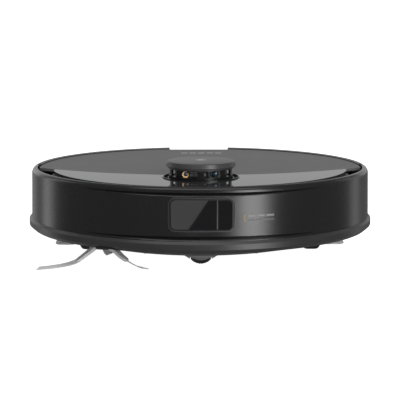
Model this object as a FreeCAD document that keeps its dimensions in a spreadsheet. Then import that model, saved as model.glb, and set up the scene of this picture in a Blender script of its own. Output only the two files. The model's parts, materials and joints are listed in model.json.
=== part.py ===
import FreeCAD, Part
import math
import os
import re
import Sketcher

# Robot vacuum with a laser turret, a sprung front bumper, a side brush, a roller brush,
# a tank that pulls out of the back and a mop plate under it.
# Millimetres. Origin on the floor under the middle of the body, +Z up, front towards -Y.

V = FreeCAD.Vector
DIMENSIONS = {
    # body
    "body_radius": 173.0, "skirt_radius": 176.5, "shell_wall": 2.8, "shoulder_round": 5.0,
    "rim_top": 87.0, "rim_width": 5.7, "lid_top": 86.2, "plate_bottom": 83.0,
    "frame_bottom": 81.0, "frame_radius": 163.8,
    "seam_height": 37.3, "skirt_top": 34.7, "skirt_bottom": 29.5, "lip_bottom": 26.0,
    "lip_radius": 172.5, "floor_bottom": 14.0, "floor_top": 17.2, "flat_radius": 120.0,
    "edge_radius": 166.0, "wall_outer": 159.0, "wall_inner": 156.5,
    "bumper_end": 3.2, "rear_start": 6.5, "flange_radius": 162.6,
    # front grooves
    "groove_radius": 182.5, "groove_centre": 12.5, "groove_height": 81.8,
    "crease_radius": 181.0, "crease_centre": 9.5, "crease_height": 39.8,
    # lid plates
    "cover_radius": 165.0, "cover_centre": -8.0, "split_radius": 254.6, "split_centre": 179.0,
    "panel_radius": 150.8, "panel_centre": -9.2, "panel_half": 148.0,
    "pit_front": -74.0, "pit_back": -14.0, "notch_half": 33.6, "notch_start": 151.0,
    # sensor window
    "bezel_half": 30.3, "bezel_low": 46.7, "bezel_high": 77.4, "bezel_width": 1.4,
    "bezel_round": 6.5, "window_curve": 420.0, "window_front": 173.6,
    # laser turret
    "turret_y": -90.6, "turret_hole": 37.4, "collar_radius": 37.0, "collar_inner": 31.6,
    "cage_radius": 30.6, "cage_inner": 28.2, "cap_radius": 33.9, "turret_top": 103.0,
    "spindle_radius": 2.98, "drum_radius": 24.0, "pulley_radius": 5.0, "belt_reach": 44.0,
    # buttons
    "button_y": -38.0, "button_spacing": 20.0, "button_radius": 6.0, "stem_radius": 3.0,
    # drive wheels
    "housing_inner": 93.0, "housing_outer": 131.0, "housing_front": -50.0,
    "housing_back": 45.0, "housing_top": 73.0, "vent_x": 100.0, "vent_pitch": 5.0,
    "vent_half": 1.2, "vent_low": 50.0, "vent_high": 66.0,
    "wheel_x": 115.0, "wheel_y": -8.0, "wheel_radius": 35.0, "wheel_width": 18.0,
    "hub_radius": 24.0, "axle_radius": 2.97, "pivot_y": 33.0, "pivot_z": 50.0,
    "pin_radius": 3.0, "running_gap": 0.06,
    # caster
    "caster_y": -88.0, "dome_radius": 18.2, "dome_low": 4.7, "caster_radius": 13.0,
    "caster_half": 10.0, "stem_pin": 4.0, "caster_wall": 23.8, "caster_space": 19.0,
    "caster_mouth": 26.0,
    # roller brush
    "roller_y": -12.0, "roller_z": 21.5, "roller_core": 13.0, "roller_radius": 20.3,
    "roller_half": 84.0, "chamber_half": 86.5, "chamber_radius": 26.0,
    "gear_left": -92.0, "gear_width": 4.5, "gear_teeth": 16, "idler_teeth": 34,
    "pinion_teeth": 11, "gear_module": 0.8,
    # side brush
    "sweeper_x": -95.0, "sweeper_y": -92.0, "sweeper_hub": 11.0, "sweeper_reach": 58.0,
    "hub_bottom": 16.5, "hub_top": 22.0, "seat_radius": 15.5, "seat_mouth": 27.0,
    "seat_height": 11.5, "arm_start": 85.0,
    # fan
    "fan_x": 48.0, "fan_y": -10.0, "fan_radius": 27.0, "fan_low": 50.0, "fan_high": 78.0,
    # tank and mop
    "tank_half": 73.5, "tank_front": 28.0, "tank_low": 19.3, "tank_high": 79.0,
    "tank_wall": 2.5, "bay_half": 76.0, "mop_radius": 158.0, "mop_half": 153.0,
    "mop_wing": 131.0, "mop_front": 38.0, "wing_front": 14.0, "cloth_thickness": 3.0,
    "bracket_top": 9.0,
}

# where the side brush's axis stands
SWEEPER = ("sweeper_x", "sweeper_y")

doc = FreeCAD.newDocument("robot_vacuum")
dims = doc.addObject("Spreadsheet::Sheet", "dims")
for row, (alias, size) in enumerate(DIMENSIONS.items(), start=1):
    dims.set(f"A{row}", alias)
    dims.set(f"B{row}", str(size))
    dims.setAlias(f"B{row}", alias)
doc.recompute()

nodes = []


# ---------------------------------------------------------------- helpers

def bound(size):
    """The expression with each driving dimension named in the sheet."""
    return re.sub(r"[a-z]+(_[a-z]+)+", lambda word: "dims." + word[0], str(size))


def value(size):
    return float(dims.evalExpression(bound(size)))


def bind(thing, **sizes):
    for prop, size in sizes.items():
        thing.setExpression(prop, bound(size))
    return thing


def place(thing, at):
    for letter, size in zip("xyz", at):
        thing.setExpression("Placement.Base." + letter, bound(size))
    return thing


def node(thing, name):
    """Marks the object as a finished sub-part of the robot."""
    thing.Label = name
    nodes.append(thing)
    return thing


def turned(axis):
    """The rotation that lays a solid's own Z along the given axis."""
    if axis == "x":
        return FreeCAD.Rotation(V(0, 1, 0), 90)
    if axis == "y":
        return FreeCAD.Rotation(V(1, 0, 0), -90)
    return FreeCAD.Rotation()


def box(name, low, high):
    block = doc.addObject("Part::Box", name)
    length, width, height = (f"({b}) - ({a})" for a, b in zip(low, high))
    bind(block, Length=length, Width=width, Height=height)
    return place(block, low)


def cylinder(name, radius, height, at=(0, 0, 0), axis="z"):
    rod = doc.addObject("Part::Cylinder", name)
    bind(rod, Radius=radius, Height=height)
    rod.Placement = FreeCAD.Placement(V(), turned(axis))
    return place(rod, at)


def sphere(name, radius, at):
    ball = doc.addObject("Part::Sphere", name)
    bind(ball, Radius=radius)
    return place(ball, at)


def fuse(name, *things):
    joined = doc.addObject("Part::MultiFuse", name)
    joined.Shapes = list(things)
    joined.Refine = True
    return joined


def cut(name, base, *tools):
    """Takes the tools off the base."""
    result = doc.addObject("Part::Cut", name)
    result.Base = base
    result.Tool = tools[0] if len(tools) == 1 else fuse(name + "_tools", *tools)
    result.Refine = True
    return result


def common(name, first, second):
    shared = doc.addObject("Part::Common", name)
    shared.Base = first
    shared.Tool = second
    shared.Refine = True
    return shared


def mirror(name, source):
    """The same solid on the other side of the robot's middle plane."""
    copy = doc.addObject("Part::Mirroring", name)
    copy.Source = source
    copy.Normal = V(1, 0, 0)
    return copy


def origin_plane(body, role):
    return next(plane for plane in body.Origin.OriginFeatures if plane.Role == role)


def outline(body, name, points, role="XZ_Plane", offset=0):
    """A closed sketch through the points, each held by two bound distances."""
    sketch = body.newObject("Sketcher::SketchObject", name)
    sketch.AttachmentSupport = (origin_plane(body, role), [""])
    sketch.MapMode = "FlatFace"
    sketch.setExpression("AttachmentOffset.Base.z", bound(offset))
    corners = [V(value(a), value(b), 0) for a, b in points]
    count = len(corners)
    for index, corner in enumerate(corners):
        sketch.addGeometry(Part.LineSegment(corner, corners[(index + 1) % count]), False)
    for index in range(count):
        sketch.addConstraint(Sketcher.Constraint("Coincident", index, 2, (index + 1) % count, 1))
    for index, (across, up) in enumerate(points):
        corner = corners[index]
        for kind, size, length in (("DistanceX", across, corner.x), ("DistanceY", up, corner.y)):
            held = sketch.addConstraint(Sketcher.Constraint(kind, -1, 1, index, 1, length))
            sketch.setExpression(f"Constraints[{held}]", bound(size))
    return sketch


def lathe(name, points, at=(0, 0, 0)):
    """A ring or disc turned about its own Z from (radius, height) points."""
    body = doc.addObject("PartDesign::Body", name)
    sketch = outline(body, name + "_profile", points)
    turn = body.newObject("PartDesign::Revolution", name + "_turn")
    turn.Profile = sketch
    turn.ReferenceAxis = (sketch, ["V_Axis"])
    turn.Angle = 360
    place(body, at)
    doc.recompute()
    return body


def slab(name, points, low, height, role="XY_Plane"):
    """A plate padded up from its outline."""
    body = doc.addObject("PartDesign::Body", name)
    sketch = outline(body, name + "_outline", points, role, low)
    pad = body.newObject("PartDesign::Pad", name + "_pad")
    pad.Profile = sketch
    pad.setExpression("Length", bound(height))
    doc.recompute()
    return body


def rounded(body, radius, chosen):
    """Rounds the edges of the body's last feature that the test picks."""
    base = body.Tip
    names = [f"Edge{n}" for n, edge in enumerate(base.Shape.Edges, start=1) if chosen(edge)]
    round_off = body.newObject("PartDesign::Fillet", body.Name + "_round")
    round_off.Base = (base, names)
    round_off.setExpression("Radius", bound(radius))
    doc.recompute()
    return body


def along_y(edge):
    return edge.BoundBox.YLength > 0.1 and max(edge.BoundBox.XLength, edge.BoundBox.ZLength) < 0.01


def at_height(size):
    return lambda edge: abs(edge.BoundBox.ZMin - value(size)) < 0.01 and edge.BoundBox.ZLength < 0.01


def polar(name, make, count, start=0.0, centre=(0, 0), sweep=360.0):
    """Copies of one solid, turned about the vertical through the centre."""
    copies = []
    for index in range(count):
        copy = make(f"{name}_{index}")
        angle = start + sweep * index / count
        middle = V(value(centre[0]), value(centre[1]), 0)
        spin = FreeCAD.Placement(V(), FreeCAD.Rotation(V(0, 0, 1), angle), middle)
        doc.recompute()
        turned_copy = doc.addObject("Part::Feature", f"{name}_{index}_turned")
        turned_copy.Shape = copy.Shape
        turned_copy.Placement = spin.multiply(copy.Placement)
        copies.append(turned_copy)
    return copies


# ---------------------------------------------------------------- outer casing

def groove_ring(name, tip, centre, height, upper, lower):
    """A V-shaped ring, set back from the body's centre, that leaves a groove fading to the sides."""
    reach = 14
    points = [
        (tip, height),
        (f"{tip} + {reach}", f"{height} + {reach * upper}"),
        (f"{tip} + {reach}", f"{height} - {reach * lower}"),
    ]
    return lathe(name, points, (0, centre, 0))


def brush_arch():
    """The shallow arch in the skirt's lower lip over the side brush."""
    return cylinder("brush_arch", 31.9, 60, (-89.5, -190, "lip_bottom - 28.9"), "y")


def window_block(name, inset, front, back):
    """A rounded rectangle across the bumper, with its front on the window's gentle curve."""
    points = [
        (f"-bezel_half + {inset}", f"bezel_low + {inset}"),
        (f"bezel_half - {inset}", f"bezel_low + {inset}"),
        (f"bezel_half - {inset}", f"bezel_high - {inset}"),
        (f"-bezel_half + {inset}", f"bezel_high - {inset}"),
    ]
    block = slab(name + "_block", points, 150, 40, "XZ_Plane")
    rounded(block, f"bezel_round - {inset}", along_y)
    face = cylinder(name + "_curve", "window_curve", 90, (0, f"window_curve - ({front})", 0))
    curved = common(name + "_curved", block, face)
    return cut(name, curved, box(name + "_behind", (-60, f"-({back})", 0), (60, 0, 100)))


def bumper():
    profile = [
        ("body_radius + 0.8", "seam_height + 0.1"),
        ("body_radius", "rim_top - shoulder_round"),
        ("body_radius", "rim_top"),
        ("body_radius - rim_width", "rim_top"),
        ("body_radius - rim_width", "frame_bottom - 0.8"),
        ("flange_radius", "frame_bottom - 0.8"),
        ("flange_radius", "frame_bottom - 2.6"),
        ("body_radius - shell_wall", "frame_bottom - 2.6"),
        ("body_radius - shell_wall", "seam_height + 8.7"),
        ("body_radius - 6", "seam_height + 6.7"),
        ("body_radius - 6", "seam_height + 0.1"),
    ]
    ring = lathe("bumper_ring", profile)
    outer_top = lambda edge: at_height("rim_top")(edge) and edge.BoundBox.XLength > 345.5
    rounded(ring, "shoulder_round - 0.2", outer_top)
    front = common("bumper_half", ring, box("front_space", (-190, -190, 0), (190, "bumper_end", 120)))
    opening = slab("window_opening", [
        ("-bezel_half", "bezel_low"), ("bezel_half", "bezel_low"),
        ("bezel_half", "bezel_high"), ("-bezel_half", "bezel_high"),
    ], 150, 40, "XZ_Plane")
    rounded(opening, "bezel_round", along_y)
    upper = groove_ring("upper_groove", "groove_radius", "groove_centre", "groove_height", 0.17, 1.0)
    lower = groove_ring("lower_crease", "crease_radius", "crease_centre", "crease_height", 1.0, 1.04)
    node(cut("bumper_cut", front, opening, upper, lower), "bumper_shell")
    blank = window_block("bezel_full", 0, "window_front + 0.2", "body_radius - 4.5")
    hole = window_block("bezel_hole", "bezel_width", "window_front + 9", 150)
    node(cut("bezel_ring", blank, hole), "sensor_bezel")
    glass = window_block("window_glass", "bezel_width", "window_front", "body_radius - 3.5")
    node(glass, "sensor_window")
    module = box("module_box", (-26, "3.5 - body_radius", 50), (26, "8.5 - body_radius", 74))
    node(module, "sensor_module")
    skirt()


def skirt():
    profile = [
        ("lip_radius - 2", "lip_bottom"),
        ("lip_radius", "lip_bottom"),
        ("skirt_radius", "skirt_bottom"),
        ("skirt_radius", "skirt_top"),
        ("body_radius + 0.9", "seam_height"),
        ("body_radius - 4.5", "seam_height"),
        ("body_radius - 4.5", "seam_height - 2.3"),
        ("lip_radius - 2", "seam_height - 2.3"),
    ]
    ring = lathe("skirt_ring", profile)
    front = common("skirt_half", ring, box("skirt_space", (-190, -190, 0), (190, "bumper_end", 120)))
    node(cut("skirt_cut", front, brush_arch()), "bumper_skirt")


def grip_notch(name, low="tank_high + 0.5"):
    """The finger recess in the rear rim, over the tank's release."""
    return box(name, ("-notch_half", "notch_start", low), ("notch_half", 200, 100))


def rear_shell():
    profile = [
        ("lip_radius - 2", "lip_bottom"),
        ("lip_radius", "lip_bottom"),
        ("skirt_radius", "skirt_bottom"),
        ("skirt_radius", "skirt_top"),
        ("body_radius + 0.9", "seam_height - 0.1"),
        ("body_radius - 0.1", "seam_height + 0.1"),
        ("body_radius - 0.1", "seam_height + 0.7"),
        ("body_radius + 0.8", "seam_height + 0.9"),
        ("body_radius", "rim_top - shoulder_round"),
        ("body_radius", "rim_top"),
        ("body_radius - 20", "rim_top"),
        ("body_radius - 20", "rim_top - 2.6"),
        ("body_radius - 2.6", "rim_top - 2.6"),
        ("body_radius - 2.6", "seam_height"),
        ("lip_radius - 2", "seam_height"),
    ]
    ring = lathe("rear_ring", profile)
    outer_top = lambda edge: at_height("rim_top")(edge) and edge.BoundBox.XLength > 345.5
    rounded(ring, "shoulder_round - 0.2", outer_top)
    rear = common("rear_half", ring, box("rear_space", (-190, "rear_start", 0), (190, 190, 120)))
    lid_hole = cylinder("lid_hole", "cover_radius + 0.4", 20, (0, "cover_centre", "plate_bottom"))
    bay = box("rear_bay", ("-bay_half", 100, 0), ("bay_half", 200, "tank_high + 0.5"))
    pockets = contact_pads("contact_pocket", "body_radius - 1", 0.15)
    vents = [
        box(
            f"vent_{side}_{index}",
            (f"{side} * vent_x + {index} * vent_pitch - vent_half", 60, "vent_low"),
            (f"{side} * vent_x + {index} * vent_pitch + vent_half", 190, "vent_high"),
        )
        for side in (-1, 1) for index in range(-2, 3)
    ]
    tools = [lid_hole, bay, grip_notch("shell_notch", "frame_bottom + 1.5"), *pockets, *vents]
    node(cut("rear_cut", rear, *tools), "rear_shell")


def contact_pads(name, inner, gap):
    """Two curved metal strips in the rear wall, either side of the tank."""
    pads = []
    for side, x in (("left", -1), ("right", 1)):
        ring = lathe(f"{name}_{side}_ring", [
            (inner, 44 - gap), ("body_radius + 0.9", 44 - gap),
            ("body_radius + 0.9", 58 + gap), (inner, 58 + gap),
        ])
        reach = sorted((x * (78 - gap), x * (90 + gap)))
        span = box(f"{name}_{side}_span", (reach[0], 50, 40), (reach[1], 190, 62))
        pads.append(common(f"{name}_{side}", ring, span))
    return pads


# ---------------------------------------------------------------- lid plates

def lid_disc(name, radius, centre, low="plate_bottom", high="lid_top"):
    return cylinder(name, radius, f"({high}) - ({low})", (0, centre, low))


def turret_hole(name, radius):
    return cylinder(name, radius, 30, (0, "turret_y", 70))


def button_holes(name, radius, low, height):
    return [
        cylinder(f"{name}_{index}", radius, height, (f"button_spacing * ({index})", "button_y", low))
        for index in (-1, 0, 1)
    ]


def lid():
    behind = lid_disc("behind_split", "split_radius - 0.2", "split_centre")
    matte = common("cover_disc", lid_disc("cover_round", "cover_radius", "cover_centre"), behind)
    holes = button_holes("button_hole", "button_radius + 0.35", "plate_bottom - 1", 10)
    tools = [turret_hole("cover_turret", "turret_hole"), grip_notch("cover_notch"), *holes]
    node(cut("cover_cut", matte, *tools), "top_cover")

    ahead = lid_disc("ahead_split", "split_radius + 0.2", "split_centre", "plate_bottom - 1", "lid_top + 1")
    gloss = lid_disc("panel_round", "panel_radius", "panel_centre")
    span = box("panel_span", ("-panel_half", -200, "plate_bottom"), ("panel_half", 0, "lid_top"))
    panel = common("panel_disc", gloss, span)
    node(cut("panel_cut", panel, ahead, turret_hole("panel_turret", "turret_hole")), "front_panel")

    plate = lid_disc("frame_round", "frame_radius", 0, "frame_bottom", "plate_bottom")
    stems = button_holes("stem_hole", "stem_radius + 0.35", "frame_bottom - 1", 4)
    tools = [turret_hole("frame_turret", 33), grip_notch("frame_notch"), *stems, *end_pits()]
    node(cut("frame_cut", plate, *tools), "upper_frame")


def end_pits():
    """The open corners of the frame past both ends of the glossy panel."""
    low, high = "frame_bottom - 1", "plate_bottom + 1"
    return [
        box("left_pit", (-200, "pit_front", low), ("-panel_half - 0.5", "pit_back", high)),
        box("right_pit", ("panel_half + 0.5", "pit_front", low), (200, "pit_back", high)),
    ]


def buttons():
    for index, name in ((-1, "home_button"), (0, "power_button"), (1, "spot_button")):
        x = f"button_spacing * ({index})"
        top = cylinder(name + "_top", "button_radius", "lid_top + 0.3 - 84.1", (x, "button_y", 84.1))
        stem = cylinder(name + "_stem", "stem_radius", 4.1, (x, "button_y", 80))
        node(fuse(name + "_both", top, stem), name)


# ---------------------------------------------------------------- laser turret

def loop_face(large, small, reach):
    """The outline of a belt laid tight round two circles on the X axis."""
    lean = math.acos((large - small) / reach)
    def on(centre, radius, angle):
        return V(centre + radius * math.cos(angle), radius * math.sin(angle), 0)
    up_large, down_large = on(0, large, lean), on(0, large, -lean)
    up_small, down_small = on(reach, small, lean), on(reach, small, -lean)
    edges = [
        Part.Arc(up_large, on(0, large, math.pi), down_large).toShape(),
        Part.LineSegment(down_large, down_small).toShape(),
        Part.Arc(down_small, on(reach, small, 0), up_small).toShape(),
        Part.LineSegment(up_small, up_large).toShape(),
    ]
    return Part.Face(Part.Wire(edges))


def loop_solid(name, large, small, low, height):
    """A plate on the belt's outline, turned to where the motor stands."""
    solid = doc.addObject("Part::Feature", name)
    face = loop_face(value(large), value(small), value("belt_reach"))
    solid.Shape = face.extrude(V(0, 0, value(height)))
    turn = FreeCAD.Rotation(V(0, 0, 1), 45)
    solid.Placement = FreeCAD.Placement(V(0, value("turret_y"), value(low)), turn)
    return solid


def motor_spot(low):
    """The place of the laser motor's axis, beside the turret."""
    return ("belt_reach * cos(45)", "turret_y + belt_reach * sin(45)", low)


def turret():
    collar = [
        ("collar_inner", "plate_bottom"), ("collar_radius", "plate_bottom"),
        ("collar_radius", "lid_top + 0.4"), ("collar_inner + 1", "lid_top + 2.2"),
        ("collar_inner", "lid_top + 2.2"),
    ]
    node(lathe("collar", collar, (0, "turret_y", 0)), "turret_base")
    cage()
    cap = [
        (0, "turret_top - 2.8"), ("cage_inner - 0.7", "turret_top - 2.8"),
        ("cage_inner - 0.7", "turret_top - 6"), ("cage_radius + 0.4", "turret_top - 6"),
        ("cage_radius + 0.4", "turret_top - 7.4"), ("cap_radius - 0.3", "turret_top - 7.4"),
        ("cap_radius", "turret_top - 3.2"), ("cap_radius - 0.9", "turret_top - 1.5"),
        ("cap_radius - 3", "turret_top - 0.4"), (0, "turret_top"),
    ]
    node(lathe("cap", cap, (0, "turret_y", 0)), "turret_cap")
    laser()


def cage():
    """The ring of five posts round the laser head, with one post at the front."""
    body = lathe("cage", [
        ("cage_inner", "lid_top - 1.6"), ("cage_radius", "lid_top - 1.6"),
        ("cage_radius", "turret_top - 6"), ("cage_inner", "turret_top - 6"),
    ], (0, "turret_y", 0))
    window = outline(body, "cage_window", [
        ("cage_inner - 4", "lid_top + 2.4"), ("cage_radius + 4", "lid_top + 2.4"),
        ("cage_radius + 4", "turret_top - 7.8"), ("cage_inner - 4", "turret_top - 7.8"),
    ])
    groove = body.newObject("PartDesign::Groove", "cage_groove")
    groove.Profile = window
    groove.ReferenceAxis = (window, ["V_Axis"])
    groove.Angle = 61
    groove.Midplane = True
    doc.recompute()
    pattern = body.newObject("PartDesign::PolarPattern", "cage_windows")
    pattern.Originals = [groove]
    pattern.Axis = (window, ["V_Axis"])
    pattern.Angle = 360
    pattern.Occurrences = 5
    body.Tip = pattern
    body.Placement = FreeCAD.Placement(V(), FreeCAD.Rotation(V(0, 0, 1), 18))
    place(body, (0, "turret_y", 0))
    node(body, "turret_cage")


def laser():
    plate = loop_solid("laser_plate", 34, 13, 75.5, 2)
    spindle = cylinder("laser_spindle", "spindle_radius", 12, (0, "turret_y", 77))
    post = lambda name: cylinder(name, 2.5, 3.7, (30, "turret_y", 77.3))
    posts = polar("laser_post", post, 3, 135, (0, "turret_y"), 270)
    shaft_hole = cylinder("laser_shaft_hole", 1.6, 4, motor_spot(75))
    node(cut("laser_base", fuse("laser_stand", plate, spindle, *posts), shaft_hole), "lidar_base")

    profile = [
        ("spindle_radius + running_gap", 78.3), ("drum_radius", 78.3), ("drum_radius", 80.5),
        (18, 80.5), (18, 85), (27, 85), (27, 87.4), ("spindle_radius + running_gap", 87.4),
    ]
    drum = lathe("laser_drum", profile, (0, "turret_y", 0))
    tower = cylinder("tower_round", 25.5, 10.1, (0, "turret_y", 87.3))
    trim = box("tower_trim", (-25, "turret_y - 18", 80), (25, "turret_y + 9", 100))
    tower_block = common("tower", tower, trim)
    bore = cylinder("tower_bore", "spindle_radius + running_gap", 3.5, (0, "turret_y", 86))
    eyes = [
        cylinder("laser_socket", 3.4, 4, (-15, "turret_y - 19", 91), "y"),
        cylinder("receiver_socket", 2.6, 4, (12.4, "turret_y - 19", 91.4), "y"),
    ]
    snout = box("receiver_snout", (7, "turret_y - 20.2", 88), (17.5, "turret_y - 17", 94.4))
    tower_all = fuse("laser_tower", drum, tower_block, snout)
    long_eye = cylinder("receiver_way", 2.6, 8, (12.4, "turret_y - 22", 91.4), "y")
    node(cut("laser_head", tower_all, bore, *eyes, long_eye), "lidar_head")
    node(cylinder("laser_glass", 3.4, 4.2, (-15, "turret_y - 19.2", 91), "y"), "laser_lens")
    node(cylinder("receiver_glass", 2.6, 6.6, (12.4, "turret_y - 20.6", 91.4), "y"), "receiver_lens")

    pulley = cylinder("pulley_disc", "pulley_radius", 2.2, motor_spot(78.3))
    shaft = cylinder("pulley_shaft", 1, 20, motor_spot(58.5))
    rotor = cylinder("pulley_rotor", 9, 12, motor_spot(60.5))
    node(fuse("pulley", pulley, shaft, rotor), "motor_pulley")
    can = cylinder("laser_can", 11.5, 17.5, motor_spot(58))
    can_space = cylinder("laser_can_space", 9.5, 13, motor_spot(60))
    can_bore = cylinder("laser_can_bore", 1.05, 20, motor_spot(58.4))
    node(cut("laser_motor_cut", can, can_space, can_bore), "lidar_motor")
    outside = loop_solid("belt_outside", "drum_radius + 1.3", "pulley_radius + 1.3", 78.7, 1.6)
    inside = loop_solid("belt_inside", "drum_radius + 0.3", "pulley_radius + 0.3", 78, 3)
    node(cut("belt_loop", outside, inside), "lidar_belt")


# ---------------------------------------------------------------- chassis

def wheel_housing(side):
    """The box over a drive wheel, open below, outer solid and inner space."""
    if side > 0:
        low, high = "housing_inner", "housing_outer"
    else:
        low, high = "-housing_outer", "-housing_inner"
    outer = box(
        f"housing_{side + 1}", (low, "housing_front", "floor_bottom"),
        (high, "housing_back", "housing_top"),
    )
    space = box(
        f"housing_space_{side + 1}", (low + " + 2", "housing_front + 2", -1),
        (high + " - 2", "housing_back - 2", "housing_top - 2"),
    )
    return outer, space


def chassis():
    profile = [
        (0, "floor_bottom"), ("flat_radius", "floor_bottom"), ("edge_radius", "lip_bottom - 1.4"),
        ("edge_radius", "lip_bottom + 1.5"), ("wall_outer", "lip_bottom + 1.5"),
        ("wall_outer", "frame_bottom"), ("wall_inner", "frame_bottom"), ("wall_inner", 24.4),
        ("flat_radius - 1", "floor_top"), (0, "floor_top"),
    ]
    tub = lathe("tub", profile)
    room = lathe("boss_room", [
        (0, "floor_bottom"), ("flat_radius", "floor_bottom"), ("edge_radius", "lip_bottom - 1.4"),
        ("edge_radius", 60), (0, 60),
    ])
    block = cylinder("seat_block", "seat_mouth + 2", "seat_height", (*SWEEPER, "floor_bottom"))
    seat = common("sweeper_seat", room, block)
    mouth = lathe("seat_mouth_cone", [
        (0, 4), ("seat_mouth", 4), ("seat_mouth", "floor_bottom"),
        ("seat_radius", "hub_top + 0.8"), (0, "hub_top + 0.8"),
    ], (*SWEEPER, 0))
    recess = lathe("caster_recess", [
        (0, 4), ("caster_mouth", 4), ("caster_mouth", "floor_bottom"),
        ("caster_space", "floor_bottom + 5"), (0, "floor_bottom + 5"),
    ], (0, "caster_y", 0))
    left, left_space = wheel_housing(-1)
    right, right_space = wheel_housing(1)
    shells = [cut("left_housing", left, left_space), cut("right_housing", right, right_space)]
    node(fuse("housings", *shells), "wheel_housings")
    pocket = cylinder("caster_wall", "caster_wall", 27, (0, "caster_y", "floor_bottom"))
    boss = cylinder("caster_boss", 8, 8, (0, "caster_y", 38))
    solid = fuse("tub_all", tub, pocket, boss, seat)
    tools = [
        left, right,
        cylinder("caster_space", "caster_space", 39, (0, "caster_y", -1)),
        cylinder("caster_bore", "stem_pin + running_gap", 20, (0, "caster_y", 30)),
        box("roller_opening", (-92.6, -34.5, 0), (86, 10.5, 30)),
        recess, mouth,
        cylinder("sweeper_opening", 6, 40, (*SWEEPER, 0)),
        box("tank_bay", ("-bay_half", 25.5, "floor_top"), ("bay_half", 200, "frame_bottom")),
        *lens_blocks("lens_pocket", 0.1, 0.0),
        *screws("screw_seat", 3.4, 0.3),
    ]
    node(cut("tub_cut", solid, *tools), "chassis_base")
    node(fuse("pins", *pivot_pins()), "wheel_pins")


def pivot_pins():
    length = 34
    return [
        cylinder(
            f"pivot_pin_{side + 1}", "pin_radius", length,
            (side * 112 - length / 2, "pivot_y", "pivot_z"), "x",
        )
        for side in (-1, 1)
    ]


def lens_blocks(name, gap, drop):
    """The four drop sensors' windows in the flat of the floor."""
    blocks = []
    for index, (x, y) in enumerate(((-48, -104), (48, -104), (-98, -58), (98, -58))):
        low = (x - 7 - gap, y - 3.5 - gap, f"floor_bottom - {drop}")
        high = (x + 7 + gap, y + 3.5 + gap, f"floor_bottom + 1 + {gap}")
        blocks.append(box(f"{name}_{index}", low, high))
    return blocks


def screws(name, radius, gap):
    """Six screw heads that hold the floor to the frame."""
    spots = ((-34, -112), (34, -112), (-66, -58), (66, -58), (-82, 60), (82, 60))
    return [
        cylinder(f"{name}_{index}", radius, 1.8 + gap, (x, y, "floor_bottom + 0.3 - " + str(gap)))
        for index, (x, y) in enumerate(spots)
    ]


def fittings():
    node(fuse("lens_group", *lens_blocks("lens", 0, 0.2)), "cliff_lenses")
    node(fuse("screw_group", *screws("screw_head", 3.2, 0)), "bottom_screws")
    node(fuse("contact_group", *contact_pads("contact", "body_radius - 1", 0)), "charging_contacts")
    cells = box("battery_box", (-45, -147, 24.5), (45, -112, 62))
    node(cells, "battery_pack")
    main_board = box("board_plate", (-74, -84, 47), (74, -40, 48.6))
    key_board = box("button_strip", (-30, -46, 77), (30, -33, 78.6))
    node(fuse("boards", main_board, key_board), "circuit_boards")
    node(cylinder("speaker_can", 14, 9, (62, -82, "floor_top")), "speaker")
    can = cylinder("sweeper_can", 15, 24, (*SWEEPER, "floor_bottom + seat_height"))
    hole = cylinder("sweeper_can_bore", 2.56, 12, (*SWEEPER, 20))
    node(cut("sweeper_motor_cut", can, hole), "side_brush_motor")


# ---------------------------------------------------------------- drive wheels

def drive_side(side, hand):
    """One drive wheel on its swinging arm. The right side is made and the left mirrors it."""
    def finish(solid, name):
        result = solid if side > 0 else mirror(solid.Name + "_mirrored", solid)
        node(result, f"{hand}_{name}")
    tag = hand + "_"
    plate = slab(tag + "arm_plate", [
        ("wheel_y - 13", "wheel_radius - 9"), ("wheel_y + 8", "wheel_radius - 12"),
        ("pivot_y + 7", "pivot_z - 5"), ("pivot_y + 4", "pivot_z + 8"),
        ("pivot_y - 6", "pivot_z + 7"), ("wheel_y - 12", "wheel_radius + 10"),
    ], 96.5, 8, "YZ_Plane")
    gearcase = cylinder(tag + "gearcase", 14, 8, (96.5, "wheel_y", "wheel_radius"), "x")
    knuckle = cylinder(tag + "knuckle", 9, 8, (96.5, "pivot_y", "pivot_z"), "x")
    axle = cylinder(tag + "axle", "axle_radius", 18, (104, "wheel_y", "wheel_radius"), "x")
    arm = fuse(tag + "arm_solid", plate, gearcase, knuckle, axle)
    eye = cylinder(tag + "arm_eye", "pin_radius + running_gap", 20, (90, "pivot_y", "pivot_z"), "x")
    finish(cut(tag + "arm_cut", arm, eye), "wheel_arm")

    at = ("wheel_x - wheel_width / 2", "wheel_y", "wheel_radius")
    tread = cylinder(tag + "tread", "wheel_radius", "wheel_width", at, "x")
    inner = ("wheel_x - 11", "wheel_y", "wheel_radius")
    rim_hole = cylinder(tag + "rim_hole", "hub_radius", "wheel_width + 4", inner, "x")
    finish(cut(tag + "tyre_cut", tread, rim_hole), "tyre")
    disc = cylinder(tag + "disc", "hub_radius", 17, ("wheel_x - 8.5", "wheel_y", "wheel_radius"), "x")
    dish = cylinder(tag + "dish", "hub_radius - 3.5", 5, ("wheel_x - 8.6", "wheel_y", "wheel_radius"), "x")
    open_end = (105, "wheel_y", "wheel_radius")
    bore = cylinder(tag + "bore", "axle_radius + running_gap", 17.4, open_end, "x")
    finish(cut(tag + "hub_cut", disc, dish, bore), "wheel_hub")


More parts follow.
